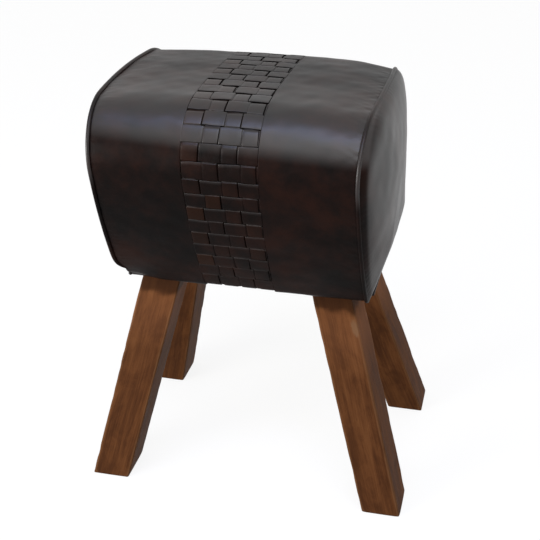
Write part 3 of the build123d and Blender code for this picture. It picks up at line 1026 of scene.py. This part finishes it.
def barSection(width):
    # The closed outline of a leather strip: (across, height), its cut edge on the right
    half, thickness, crown = width / 2, weave["thickness"], weave["crown"]
    sharp, soft = weave["edgeCut"], weave["edgeRound"]
    line = np.linspace(soft - half, half - sharp, weave["across"])
    top = [(t, thickness + crown * (1 - (t / half) ** 2)) for t in line]
    turn = np.linspace(0, pi / 2, 4)[1:]
    right = [(half - sharp + sharp * sin(a), thickness - sharp + sharp * cos(a)) for a in turn]
    left = [(soft - half - soft * sin(a), thickness - soft + soft * cos(a)) for a in turn[::-1]]
    bottom = [(half - sharp / 2, 0.0), (0.0, 0.0), (soft / 2 - half, 0.0)]
    return np.array(top + right + bottom + left)


def cutEdgeAndShade(flat, width):
    return eased(flat[:, 0] - width / 2, -weave["edgeCut"], 0.4 * weave["edgeCut"])


def makeStrap(column):
    form = weave
    centre = (column + 0.5) * columnPitch - seat["halfBand"]
    reach = arcsLength(form["depth"], 4) + seat["hemMargin"]
    rowsHalf = form["rows"] * rowPitch / 2
    # Places along each tile, crowded towards its ends
    leading = [-0.5, -0.49, -0.48, -0.468, -0.455, -0.44, -0.41, -0.38, -0.345, -0.25]
    steps = np.array([*leading, 0.0, 0.25, 0.44, 0.46, 0.475, 0.488])
    lastRow = (form["rows"] - 1) // 2
    rows = np.arange(-lastRow, lastRow + 1)
    along = ((rows[:, None] + steps[None, :]) * rowPitch).ravel()
    tail = np.linspace(rowsHalf, reach, 16)
    along = np.concatenate([-tail[::-1], along[1:], tail])
    row = np.clip(np.round(along / rowPitch), -lastRow, lastRow)
    over = ((row + column) % 2 == 0) & (np.abs(along) < rowsHalf)
    offset = along - row * rowPitch
    # A strap dives under the next strips shortly before its own tile ends, gently on the top
    onTop = eased(arcsLength(form["depth"], 2) - np.abs(along), *form["topShare"])
    leadingDive = form["dive"] + (form["diveTop"] - form["dive"]) * onTop
    slope = np.where(offset < 0, leadingDive, form["dive"] * 0.4)
    share = eased(0.5 * rowPitch - np.abs(offset), form["strapGap"], slope)
    sunk = form["sunk"]
    level = np.where(over, sunk + (1 - sunk) * share, sunk * (1 - share))
    level = np.where(np.abs(along) < rowsHalf, level, 0.0)
    bow = np.where(over, form["bow"] * np.cos(pi * offset / rowPitch), 0.0)
    lift = form["thickness"] * level + bow
    wander = form["wander"] * softNoise(along[:, None], form["wanderWave"], 71 + column)
    flat = barSection(form["strapWidth"])
    widen = 1 + form["widening"] * softNoise(along[:, None], form["wideningWave"], 81 + column)
    x = centre + wander[:, None] + flat[None, :, 0] * widen[:, None]
    if column == 0:
        # The first strap lies against the leather
        middle = centre + wander[:, None]
        outward = flat[None, :, 0] / (form["strapWidth"] / 2)
        x = np.where(outward < 0, middle + outward * (middle + seat["halfBand"] - form["strapGap"]), x)
    height = lift[:, None] + flat[None, :, 1]
    edge = np.where(over & (offset < 0), smoothStep((1 - share) * 4) * (1 - onTop), 0.0)
    # Where it is over, its right cut edge is dyed dark and gets painted groove shade
    dark = cutEdgeAndShade(flat, form["strapWidth"])[None, :] * over[:, None]
    places = settled(wrapped(x, along[:, None] + 0 * x, height, form["depth"]))
    tones = np.random.default_rng(91 + column).normal(0, form["toneSpread"], form["rows"])
    tone = form["strapTones"][column] + tones[(row + lastRow).astype(int)]
    points, faces = sweptBar(places)
    tone, edge = (np.repeat(value, flat.shape[0]) for value in (tone, edge))
    return points, faces, {"tone": tone, "edge": edge, "dark": dark}


for column in range(weave["columns"]):
    points, faces, values = makeStrap(column)
    strap = meshPiece(f"wovenStrap{column + 1}", points, faces, wovenLeather)
    for word, numbers in values.items():
        storeValues(strap, word, numbers)
    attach(strap, "root")
    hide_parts(f"woven_strap_{column + 1}")
print("straps made")


def makeFlatStrip(first):
    # One cross strip, flat, over every second strap from the first: X across, Y along, Z out
    form = weave
    high = columnPitch - form["strapWidth"] / 2 - form["climbGap"]
    # Past the last strap's right edge a strip comes up again, beside the leather
    columns = np.arange(first, form["columns"] + 1, 2)
    overAt = (columns + 0.5) * columnPitch - seat["halfBand"]
    # An end that shows lies against the leather's edge, and one under the first strap runs below it
    shown = seat["halfBand"] - form["endGap"]
    x = np.linspace(-shown if first == 0 else -form["endReach"], shown, form["stripSteps"])
    level = np.zeros_like(x)
    for centre in overAt:
        # Steep under the strap on its right, gentler beside the one on its left
        rise = smoothStep((high + x - centre) / form["climb"])
        dive = smoothStep((high - x + centre) / (form["climb"] * 0.4))
        level = np.maximum(level, rise * dive)
    flat = barSection(stripWidth)
    height = form["thickness"] * level[:, None] + flat[None, :, 1]
    places = np.stack([x[:, None] + 0 * height, flat[None, :, 0] + 0 * height, height], -1)
    strip = meshPiece(f"flatStrip{first}", *sweptBar(places), None)
    # Its far edge, at -Y, is the one that shows
    bend = form["edgeRound"]
    turned = eased(-flat[:, 0] - stripWidth / 2, -1.3 * bend, 0.6 * bend)
    storeValues(strip, "edge", turned[None, :] * (level > 0.5)[:, None])
    # Its near cut edge, at +Y, is dyed dark and gets painted groove shade
    storeValues(strip, "dark", cutEdgeAndShade(flat, stripWidth)[None, :] + 0 * height)
    return strip


def stripPattern():
    made = Pattern("crossStripPattern")
    made.addSocket("Even strip", "Object")
    made.addSocket("Odd strip", "Object")
    made.addSocket("Section", "Object")
    made.addSocket("Rows", "Int", weave["rows"])
    made.addSocket("Pitch", "Float", rowPitch)
    made.addSocket("Turn", "Float", weave["turn"])
    made.addSocket("Shift", "Float", weave["wander"])
    made.addSocket("Half length", "Float", 0.5)
    made.addSocket("Seed", "Int", 5)
    made.start()
    rows, pitch = made.given("Rows"), made.given("Pitch")
    begin = made.joined(Y=(rows - 1) * pitch * -0.5)
    inputs = {"Count": rows, "Start Location": begin, "Offset": made.joined(Y=pitch)}
    line = made.node("GeometryNodeMeshLine", {"mode": "OFFSET"}, inputs)

    def drawn(size, seed):
        return made.drawn(made.given("Seed") + seed) * size

    index = made.node("GeometryNodeInputIndex")
    odd = made.node("ShaderNodeMath", {"operation": "MODULO"}, {0: index, 1: 2.0})
    turn = made.joined(Z=drawn(made.given("Turn"), 1))
    shift = made.joined(X=drawn(made.given("Shift"), 2), Y=drawn(made.given("Shift"), 3) * 0.5)
    spread = made.shifted(line, shift)
    # Rows take turns in which straps they pass over
    placed = made.node("GeometryNodeJoinGeometry")
    for word, chosen in (("Even strip", 1 - odd), ("Odd strip", odd)):
        strip = made.givenObject(word)
        inputs = {"Points": spread, "Selection": chosen, "Instance": strip, "Rotation": turn}
        copies = made.node("GeometryNodeInstanceOnPoints", inputs=inputs)
        made.feed(placed.socket.node.inputs["Geometry"], copies)
    tone = drawn(weave["toneSpread"], 4) + weave["stripTone"]
    toned = made.node("GeometryNodeStoreNamedAttribute", {"domain": "INSTANCE", "data_type": "FLOAT"},
                      {"Geometry": placed, "Name": "tone", "Value": tone})
    plain = made.node("GeometryNodeRealizeInstances", inputs={"Geometry": toned})
    # A little unevenness from the hand, then the flat strips are laid round the seat
    wave = made.unevenness(weave["unevenScale"])
    uneven = made.vector("MULTIPLY", {0: wave, 1: weave["uneven"]})
    bent = made.shifted(plain, uneven)
    x, along, height = made.parts(made.node("GeometryNodeInputPosition"))
    section = made.curve(made.givenObject("Section"))
    sampled = made.node("GeometryNodeSampleCurve", {"mode": "LENGTH", "use_all_curves": True},
                        {"Curves": section, "Length": along + made.given("Half length")}, "Position")
    outward = made.vector("CROSS_PRODUCT", {0: sampled.beside("Tangent"), 1: (1, 0, 0)})
    raised = made.vector("SCALE", {0: outward, "Scale": height})
    lifted = made.vector("ADD", {0: sampled, 1: raised})
    final = made.vector("ADD", {0: lifted, 1: made.joined(X=x)})
    laid = made.node("GeometryNodeSetPosition", inputs={"Geometry": bent, "Position": final})
    made.finish(laid, wovenLeather)
    return made


halfLength = arcsLength(weave["depth"], 4)
sectionLine = np.linspace(-halfLength, halfLength, 1601)
sectionPath = pathPiece("sectionPath", wrapped(0.0, sectionLine, 0.0, weave["depth"]))
evenStrip, oddStrip = makeFlatStrip(1), makeFlatStrip(0)
crossStrips = stripPattern().run(pathPiece("stripCarrier", [(0, 0, 0), (0, 0, 0.001)]), "crossStrips", {
    "Even strip": evenStrip,
    "Odd strip": oddStrip,
    "Section": sectionPath,
    "Half length": halfLength,
})
for helper in (evenStrip, oddStrip, sectionPath):
    bpy.data.objects.remove(helper)
writePlaces(crossStrips.data, settled(readPlaces(crossStrips.data)))
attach(crossStrips, "root")
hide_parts("cross_strips")
print("cross strips made:", len(crossStrips.data.polygons), "faces")


# Legs
legs = {
    "footX": 0.23975,
    "footY": 0.1425,
    "topX": 0.13725,
    "hemGap": 0.0023,
    "length": 0.0645,
    "width": 0.067,
    "height": 0.3765,
    "arris": 0.0028,
    "levels": 130,
    "sideSteps": 9,
    "crowding": 0.11,
    # From one leg's stretch of timber to the next one's
    "timberStep": (0.31, -0.23, 0.71),
    "wear": 0.0007,
    "wearReach": 0.0035,
    "wearWave": 0.028,
    "unevenness": 0.00028,
    "unevenWave": 0.05,
    "footBevel": 0.0015,
    "footWear": 0.004,
    # Bare wood on one leg: its middle across the leg and its height, and how far it spreads
    "bare": (0.027, 0.318),
    "bareSpread": (0.008, 0.022),
    # Painted light on the wood higher up, most on its sides, and painted shadow of the seat right below it
    "lighter": (0.225, 0.10),
    "paintedLightFront": 0.38,
    "paintedLightSides": 0.42,
    "grime": (0.337, 0.012),
    "paintedShadowWave": 0.003,
}
legs["topY"] = hemInner - legs["hemGap"] - legs["width"] / 2
legLean = hypot(legs["footX"] - legs["topX"], legs["footY"] - legs["topY"])


def legOutline():
    # The leg's level section: places, outward ways and how far each is from an arris
    halfX, halfY, r = legs["length"] / 2, legs["width"] / 2, legs["arris"]
    places, ways, away = [], [], []
    corners = [(1, 1, 0), (-1, 1, pi / 2), (-1, -1, pi), (1, -1, 3 * pi / 2)]
    for index, (sx, sy, start) in enumerate(corners):
        for angle in np.linspace(start, start + pi / 2, 5):
            way = (cos(angle), sin(angle))
            places.append((sx * (halfX - r) + r * way[0], sy * (halfY - r) + r * way[1]))
            ways.append(way)
            away.append(0.0)
        last, way = places[-1], ways[-1]
        nextSx, nextSy = corners[(index + 1) % 4][:2]
        goal = (nextSx * (halfX - r) + r * way[0], nextSy * (halfY - r) + r * way[1])
        size = hypot(goal[0] - last[0], goal[1] - last[1])
        for step in range(1, legs["sideSteps"]):
            share = step / legs["sideSteps"]
            share -= legs["crowding"] * sin(2 * pi * share)
            places.append(tuple(a + (b - a) * share for a, b in zip(last, goal)))
            ways.append(way)
            away.append(size * min(share, 1 - share))
    return np.array(places), np.array(ways), np.array(away)


def makeLeg(side, front, name, seed):
    form = legs
    places, ways, away = legOutline()
    z = np.linspace(0, 1, form["levels"]) * (form["height"] - form["footBevel"]) + form["footBevel"]
    z = np.concatenate([[0.0], z])[:, None]
    share = z / form["height"]
    centreX = side * (form["footX"] + (form["topX"] - form["footX"]) * share)
    centreY = front * (form["footY"] + (form["topY"] - form["footY"]) * share)
    acrossX, acrossY = (places[None, :, i] + 0 * z for i in range(2))
    # Pattern places run along the leg, a different stretch of timber for each leg
    along = z / cos(atan2(legLean, form["height"])) + 0 * acrossX
    grain = np.stack([acrossX, acrossY, along], -1) + seed * np.array(form["timberStep"])
    worn = np.exp(-away / form["wearReach"])[None, :] + 0 * z
    patches = np.clip(0.35 + 0.65 * softNoise(grain, form["wearWave"], 110 + seed), 0, 1.4)
    uneven = softNoise(grain * np.array([1, 1, 0.45]), form["unevenWave"], 100 + seed)
    push = np.minimum(form["unevenness"] * uneven - form["wear"] * worn * patches, 0.0)
    push[0] -= form["footBevel"]
    x = centreX + acrossX + ways[None, :, 0] * push
    y = centreY + acrossY + ways[None, :, 1] * push
    points, faces = sweptBar(np.stack([x, y, z + 0 * x], -1))
    piece = meshPiece(name, points, faces, wood)
    storePlaces(piece, "grainPlace", grain)
    storeValues(piece, "worn", np.clip(worn + np.exp(-z / form["footWear"]), 0, 1))
    spot = np.zeros_like(x)
    if (side, front) == (1, -1):
        # Bare wood beside the front arris near the seat
        (spotX, spotZ), (spreadX, spreadZ) = form["bare"], form["bareSpread"]
        spot = np.exp(-((acrossX - spotX) ** 2) / spreadX**2 - (z - spotZ) ** 2 / spreadZ**2)
        spot = spot * (acrossY < -0.02)
    storeValues(piece, "raw", spot)
    # Painted light, growing up the leg and strongest on its sides
    lighter = form["paintedLightFront"] + form["paintedLightSides"] * np.abs(ways[None, :, 0])
    storeValues(piece, "lighter", eased(z, *form["lighter"]) * lighter)
    # Painted shadow of the seat, with a wavy lower edge
    paintedShadowEdge = form["paintedShadowWave"] * softNoise(grain, 0.02, 120 + seed)
    storeValues(piece, "grime", eased(z - paintedShadowEdge, *form["grime"]))
    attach(piece, "root")
    return piece


seed = 1
for front, row in ((-1, "front"), (1, "rear")):
    for side, word in ((-1, "Left"), (1, "Right")):
        leg = makeLeg(side, front, row + word + "Leg", seed)
        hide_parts(f"{row}_{word.lower()}_leg")
        seed += 1
print("legs made")


# What lies inside and under the seat
padForm = {
    "voxel": 0.005,
    "softening": 4,
    "shrink": 0.0012,
    # How deep a pad still follows the settled leather
    "follow": (0.003, 0.02),
    # Squeezed in at the bottom, behind the worn corners of the leather
    "squeeze": 0.05,
    "squeezeFrom": 0.43,
    "squeezeSpan": 0.035,
    # The pads under the ends, from the seventh ring of the leather's grid inward
    "endRound": 220,
    "endDepth": 0.0024,
    "endRing": 6,
    "endInset": 0.0028,
    "endBoardIn": 0.018,
    "thinnest": 0.0006,
}
endBoardFace = seat["halfSeam"] - padForm["endBoardIn"] + padForm["thinnest"]


def foamPad(node, name):
    form = padForm
    shape = bmesh.new()
    shape.from_mesh(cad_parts[node].data)
    bmesh.ops.remove_doubles(shape, verts=shape.verts, dist=0.00001)
    pad = linked(name, meshOf(shape, name))
    voxels = pad.modifiers.new("voxels", "REMESH")
    voxels.mode = "VOXEL"
    voxels.voxel_size = form["voxel"]
    soften = pad.modifiers.new("soften", "SMOOTH")
    soften.iterations = form["softening"]
    graph = bpy.context.evaluated_depsgraph_get()
    plain = bpy.data.meshes.new_from_object(pad.evaluated_get(graph), depsgraph=graph)
    pad.modifiers.clear()
    pad.data = plain
    plain.name = name
    places = (readPlaces(plain) - form["shrink"] * readPlaces(plain, "normal")).astype(float)
    y, z = places[:, 1], places[:, 2]
    section = sectionAt(np.linspace(0, arcsLength(0, 3), 800), 0)
    awayY, awayZ = np.abs(y)[:, None] + section[0][None], z[:, None] - section[1][None]
    depth = np.min(np.hypot(awayY, awayZ), axis=1)
    outerShare = 1 - eased(depth, *form["follow"])
    places += (settled(places) - places) * outerShare[:, None]
    places[:, 0] *= 1 - form["squeeze"] * smoothStep((form["squeezeFrom"] - z) / form["squeezeSpan"])
    writePlaces(plain, places)
    shadeFaces(plain)
    plain.materials.clear()
    plain.materials.append(foam)
    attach(pad, "root")
    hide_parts(node)


def endPad(side, word):
    # The pad under an end's leather, from the board outward
    form = padForm
    depth = seat["leather"] + form["endDepth"]
    along = np.linspace(-ringReach, ringReach, form["endRound"], endpoint=False)
    outside = endGrid(side, along, depth)[form["endRing"]:]
    # Kept clear of the body's leather all round
    inward = 1 - form["endInset"] / endLeather["meanHalf"]
    outside[..., 1] *= inward
    outside[..., 2] = endLeather["middleZ"] + (outside[..., 2] - endLeather["middleZ"]) * inward
    outside = settled(outside)
    back = np.array(outside)
    back[..., 0] = side * np.minimum(endBoardFace, side * outside[..., 0] - form["thinnest"])
    points, faces = cappedRings(outside, back)
    pad = meshPiece(word + "EndFoamPad", points, faces, foam)
    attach(pad, "root")
    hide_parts(word + "_end_foam")


for word in ("top", "front", "rear"):
    foamPad(word + "_foam", word + "FoamPad")
for side, word in sides:
    endPad(side, word)

boardFinishes = {
    "base_board": plywoodFinish("plywoodFlat", (0, 0, 1)),
    "left_end_board": plywoodFinish("plywoodUpright", (1, 0, 0)),
    "front_board": plywoodFinish("plywoodFront", (0, 0.97, 0.24)),
    "rear_board": plywoodFinish("plywoodRear", (0, 0.97, -0.24)),
}
boardFinishes["top_board"] = boardFinishes["base_board"]
boardFinishes["right_end_board"] = boardFinishes["left_end_board"]


def dress(node, finish):
    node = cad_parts[node]
    for place in node.material_slots:
        place.material = finish


for node, finish in boardFinishes.items():
    dress(node, finish)
for node in ("carcass_screws", "leg_bolts", "leg_washers", "leg_nuts"):
    dress(node, steel)

# Lining under the weave
lining = {"depth": 0.0033, "thickness": 0.0008, "half": 0.0556, "clear": 0.00002}
reach = arcsLength(lining["depth"], 4) + seat["hemMargin"]
liningAlong = np.linspace(-reach, reach, 300)[:, None]
liningX = np.linspace(-lining["half"], lining["half"], 16)[None, :]
liningAlong = liningAlong + 0 * liningX
outside = wrapped(liningX, liningAlong, -lining["clear"], lining["depth"])
inside = wrapped(liningX, liningAlong, -lining["thickness"], lining["depth"])
liningPiece = meshPiece("bandLining", *skinShell(settled(outside), settled(inside)), liningCloth)
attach(liningPiece, "root")
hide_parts("band_lining")

# Dust cover: a stretched cloth with a square hole for each leg
cover = {
    "x": 0.1778,
    "y": hemInner + 0.006,
    "thickness": 0.0007,
    "gap": 0.0006,
    "below": 0.0003,
    "sag": 0.0022,
    "sagWave": 0.055,
    "step": 0.0055,
    # Over what way it comes to its full sag, from its edge and from a leg
    "tight": 0.05,
    "tightAtLeg": 0.03,
}


def makeCover():
    holes = []
    halfX, halfY = legs["length"] / 2 + cover["gap"], legs["width"] / 2 + cover["gap"]
    for middleX in (-legs["topX"], legs["topX"]):
        for middleY in (-legs["topY"], legs["topY"]):
            holes.append((middleX - halfX, middleX + halfX, middleY - halfY, middleY + halfY))

    def lines(limit, cuts):
        # Grid lines that pass exactly along the edges of the holes
        places = sorted({-limit, limit, *cuts})
        kept = []
        for a, b in zip(places, places[1:]):
            kept += list(np.linspace(a, b, max(2, int((b - a) / cover["step"]) + 2))[:-1])
        return np.array(kept + [limit])

    x = lines(cover["x"], [edge for hole in holes for edge in hole[:2]])
    y = lines(cover["y"], [edge for hole in holes for edge in hole[2:]])
    gridX, gridY = np.meshgrid(x, y, indexing="ij")
    free = np.minimum(cover["x"] - np.abs(gridX), cover["y"] - np.abs(gridY)) / cover["tight"]
    free = np.clip(free, 0, 1)
    for x0, x1, y0, y1 in holes:
        outX = np.maximum(np.maximum(x0 - gridX, gridX - x1), 0)
        outY = np.maximum(np.maximum(y0 - gridY, gridY - y1), 0)
        free = np.minimum(free, np.clip(np.hypot(outX, outY) / cover["tightAtLeg"], 0, 1))
    wave = 0.35 * softNoise(np.stack([gridX, gridY], -1), cover["sagWave"], 401)
    level = seat["bottomHeight"] - cover["below"] - smoothStep(free) * cover["sag"] * (0.75 + wave)
    shape = bmesh.new()
    grid = []
    for drop in (0, cover["thickness"]):
        rows = zip(gridX, gridY, level - drop)
        grid.append([[shape.verts.new(place) for place in zip(*row)] for row in rows])

    def solid(i, j):
        if not (0 <= i < len(x) - 1 and 0 <= j < len(y) - 1):
            return False
        middleX, middleY = (x[i] + x[i + 1]) / 2, (y[j] + y[j + 1]) / 2
        return not any(x0 < middleX < x1 and y0 < middleY < y1 for x0, x1, y0, y1 in holes)

    for i in range(len(x) - 1):
        for j in range(len(y) - 1):
            if not solid(i, j):
                continue
            corners = [(i, j), (i + 1, j), (i + 1, j + 1), (i, j + 1)]
            for layer in grid:
                shape.faces.new([layer[a][b] for a, b in corners])
            beside = [solid(i, j - 1), solid(i + 1, j), solid(i, j + 1), solid(i - 1, j)]
            for k in range(4):
                if not beside[k]:
                    (a, b), (c, d) = corners[k], corners[(k + 1) % 4]
                    shape.faces.new([grid[0][a][b], grid[0][c][d], grid[1][c][d], grid[1][a][b]])
    bmesh.ops.delete(shape, geom=[v for v in shape.verts if not v.link_faces], context="VERTS")
    bmesh.ops.recalc_face_normals(shape, faces=shape.faces)
    piece = linked("dustCover", meshOf(shape, "dustCover"))
    shadeFaces(piece.data)
    piece.data.materials.append(coverCloth)
    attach(piece, "root")
    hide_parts("dust_cover")
    return piece


dustCover = makeCover()

# Staples through the cover's edge and the hems into the base board
staples = {
    "crown": 0.0115,
    "wire": 0.00055,
    "leg": 0.0060,
    "bend": 0.0006,
    "pitch": 0.021,
    "inset": 0.0032,
    "turn": 0.16,
}


def staplePattern():
    made = Pattern("staplePattern")
    made.addSocket("Pitch", "Float", staples["pitch"])
    made.addSocket("Wire", "Float", staples["wire"])
    made.addSocket("Shape", "Object")
    made.addSocket("Turn", "Float", staples["turn"])
    made.addSocket("Seed", "Int", 8)
    made.start()
    run = made.curve(made.given("Geometry"))
    spots = made.node("GeometryNodeCurveToPoints", {"mode": "LENGTH"},
                      {"Curve": run, "Length": made.given("Pitch")}, "Points")
    inputs = {"Vector": spots.beside("Tangent")}
    aligned = made.node("FunctionNodeAlignRotationToVector", {"axis": "X"}, inputs)
    twist = made.joined(Z=made.drawn(made.given("Seed")) * made.given("Turn"))
    turned = made.node("FunctionNodeRotateRotation", {"rotation_space": "LOCAL"},
                       {"Rotation": aligned, "Rotate By": twist})
    staple = made.tube(made.curve(made.givenObject("Shape")), 8, made.given("Wire"))
    inputs = {"Points": spots, "Instance": staple, "Rotation": turned}
    made.finish(made.node("GeometryNodeInstanceOnPoints", inputs=inputs), steel)
    return made


level = seat["bottomHeight"] - cover["below"] - cover["thickness"] - staples["wire"]
ring = rectangle(cover["x"] - staples["inset"], cover["y"] - staples["inset"], level)
crown, drop, bend = staples["crown"] / 2, staples["leg"], staples["bend"]
rightHalf = [(crown - bend, 0, 0), (crown, 0, bend), (crown, 0, drop)]
leftHalf = [(-x, y, z) for x, y, z in rightHalf[::-1]]
stapleShape = pathPiece("stapleShape", leftHalf + rightHalf)
staplePath = pathPiece("staplePath", ring, closed=True)
stapleRow = staplePattern().run(staplePath, "staples", {"Shape": stapleShape})
bpy.data.objects.remove(stapleShape)
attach(stapleRow, "root")

# Flat sizes that the body leather, the lining and the dust cover were cut to before they were stretched and
# stapled, worked out here and not used further
bodyLength = 2 * hemReach
for word in ("left", "right"):
    word + "EndFoamPad"
2 * reach
2 * cover["x"]
2 * cover["y"]
4 * (cover["x"] * cover["y"] - legs["length"] * legs["width"])
print("inner pieces made")


# Floor, light and camera
camera = {
    "azimuth": 11.532,
    "elevation": 31.372,
    "distance": 1.5624,
    "target": (0.1350, 0.0, 0.3314),
    "focal": 941.28,
    "width": 540,
    "shiftX": -70,
    "shiftY": 15,
    "sensor": 36.0,
}


def aim(thing, place, way):
    thing.location = place
    thing.rotation_mode = "QUATERNION"
    thing.rotation_quaternion = way.to_track_quat("-Z", "Y")


eye = bpy.data.cameras.new("camera")
eye.sensor_width = camera["sensor"]
eye.lens = camera["focal"] / camera["width"] * camera["sensor"]
eye.shift_x = camera["shiftX"] / camera["width"]
eye.shift_y = camera["shiftY"] / camera["width"]
turn, lift = radians(camera["azimuth"]), radians(camera["elevation"])
back = Vector((sin(turn) * cos(lift), -cos(turn) * cos(lift), sin(lift)))
eyeObject = linked("camera", eye)
aim(eyeObject, Vector(camera["target"]) + back * camera["distance"], -back)
bpy.context.scene.camera = eyeObject

studio = {
    "sky": 0.50,
    "floorGlow": 0.86,
    "lamps": [
        # name, place, aimed at, size, watts, colour
        ("ceilingLamp", (0.42, -1.15, 2.36), (0.2, -0.15, 0.64), (2.2, 1.4), 21, (1.0, 0.985, 0.96)),
        ("blueLamp", (0.0, -0.80, 2.50), (0, -0.15, 0.64), (2.2, 0.40), 10.0, (0.25, 0.4, 1.0)),
        ("frontLamp", (-2.3, -2.2, 0.90), (0, 0, 0.3), (1.6, 1.2), 72, (1.0, 0.985, 0.96)),
    ],
    "floorHalf": 14.0,
    "floorLevel": -0.0002,
}
for name, place, target, size, watts, colour in studio["lamps"]:
    lamp = bpy.data.lights.new(name, "AREA")
    lamp.shape = "RECTANGLE"
    lamp.size, lamp.size_y = size
    lamp.energy, lamp.color = watts, colour
    aim(linked(name, lamp), place, Vector(target) - Vector(place))


def seenRays(tree):
    # 1 for rays from the camera, and for those by way of a gloss or through something clear
    rays = tree.node("ShaderNodeLightPath", out="Is Camera Ray")
    glossy, clear = rays.beside("Is Glossy Ray"), rays.beside("Is Transmission Ray")
    return rays.sum("MAXIMUM", glossy).sum("MAXIMUM", clear)


sky = bpy.data.worlds.new("studio")
sky.use_nodes = True
skyTree = Tree(sky.node_tree)
strength = seenRays(skyTree) * (1 - studio["sky"]) + studio["sky"]
shine = skyTree.node("ShaderNodeBackground", inputs={"Color": (1, 1, 1, 1), "Strength": strength})
skyTree.node("ShaderNodeOutputWorld", inputs={"Surface": shine})
bpy.context.scene.world = sky

floorFinish = Finish("floor")
glow = studio["floorGlow"]
floorMaterial = floorFinish.surface({
    "Base Color": (0.18, 0.18, 0.18, 1),
    "Roughness": 0.85,
    "Specular IOR Level": 0.1,
    "Emission Color": floorFinish.mixColour(seenRays(floorFinish), (0, 0, 0), (glow, glow, glow)),
    "Emission Strength": 1.0,
})
corners = rectangle(studio["floorHalf"], studio["floorHalf"], studio["floorLevel"])
floorPiece = meshPiece("floor", corners, [(0, 1, 2, 3)], floorMaterial, smooth=False)
bpy.context.scene.view_settings.view_transform = "Standard"
print("studio made")
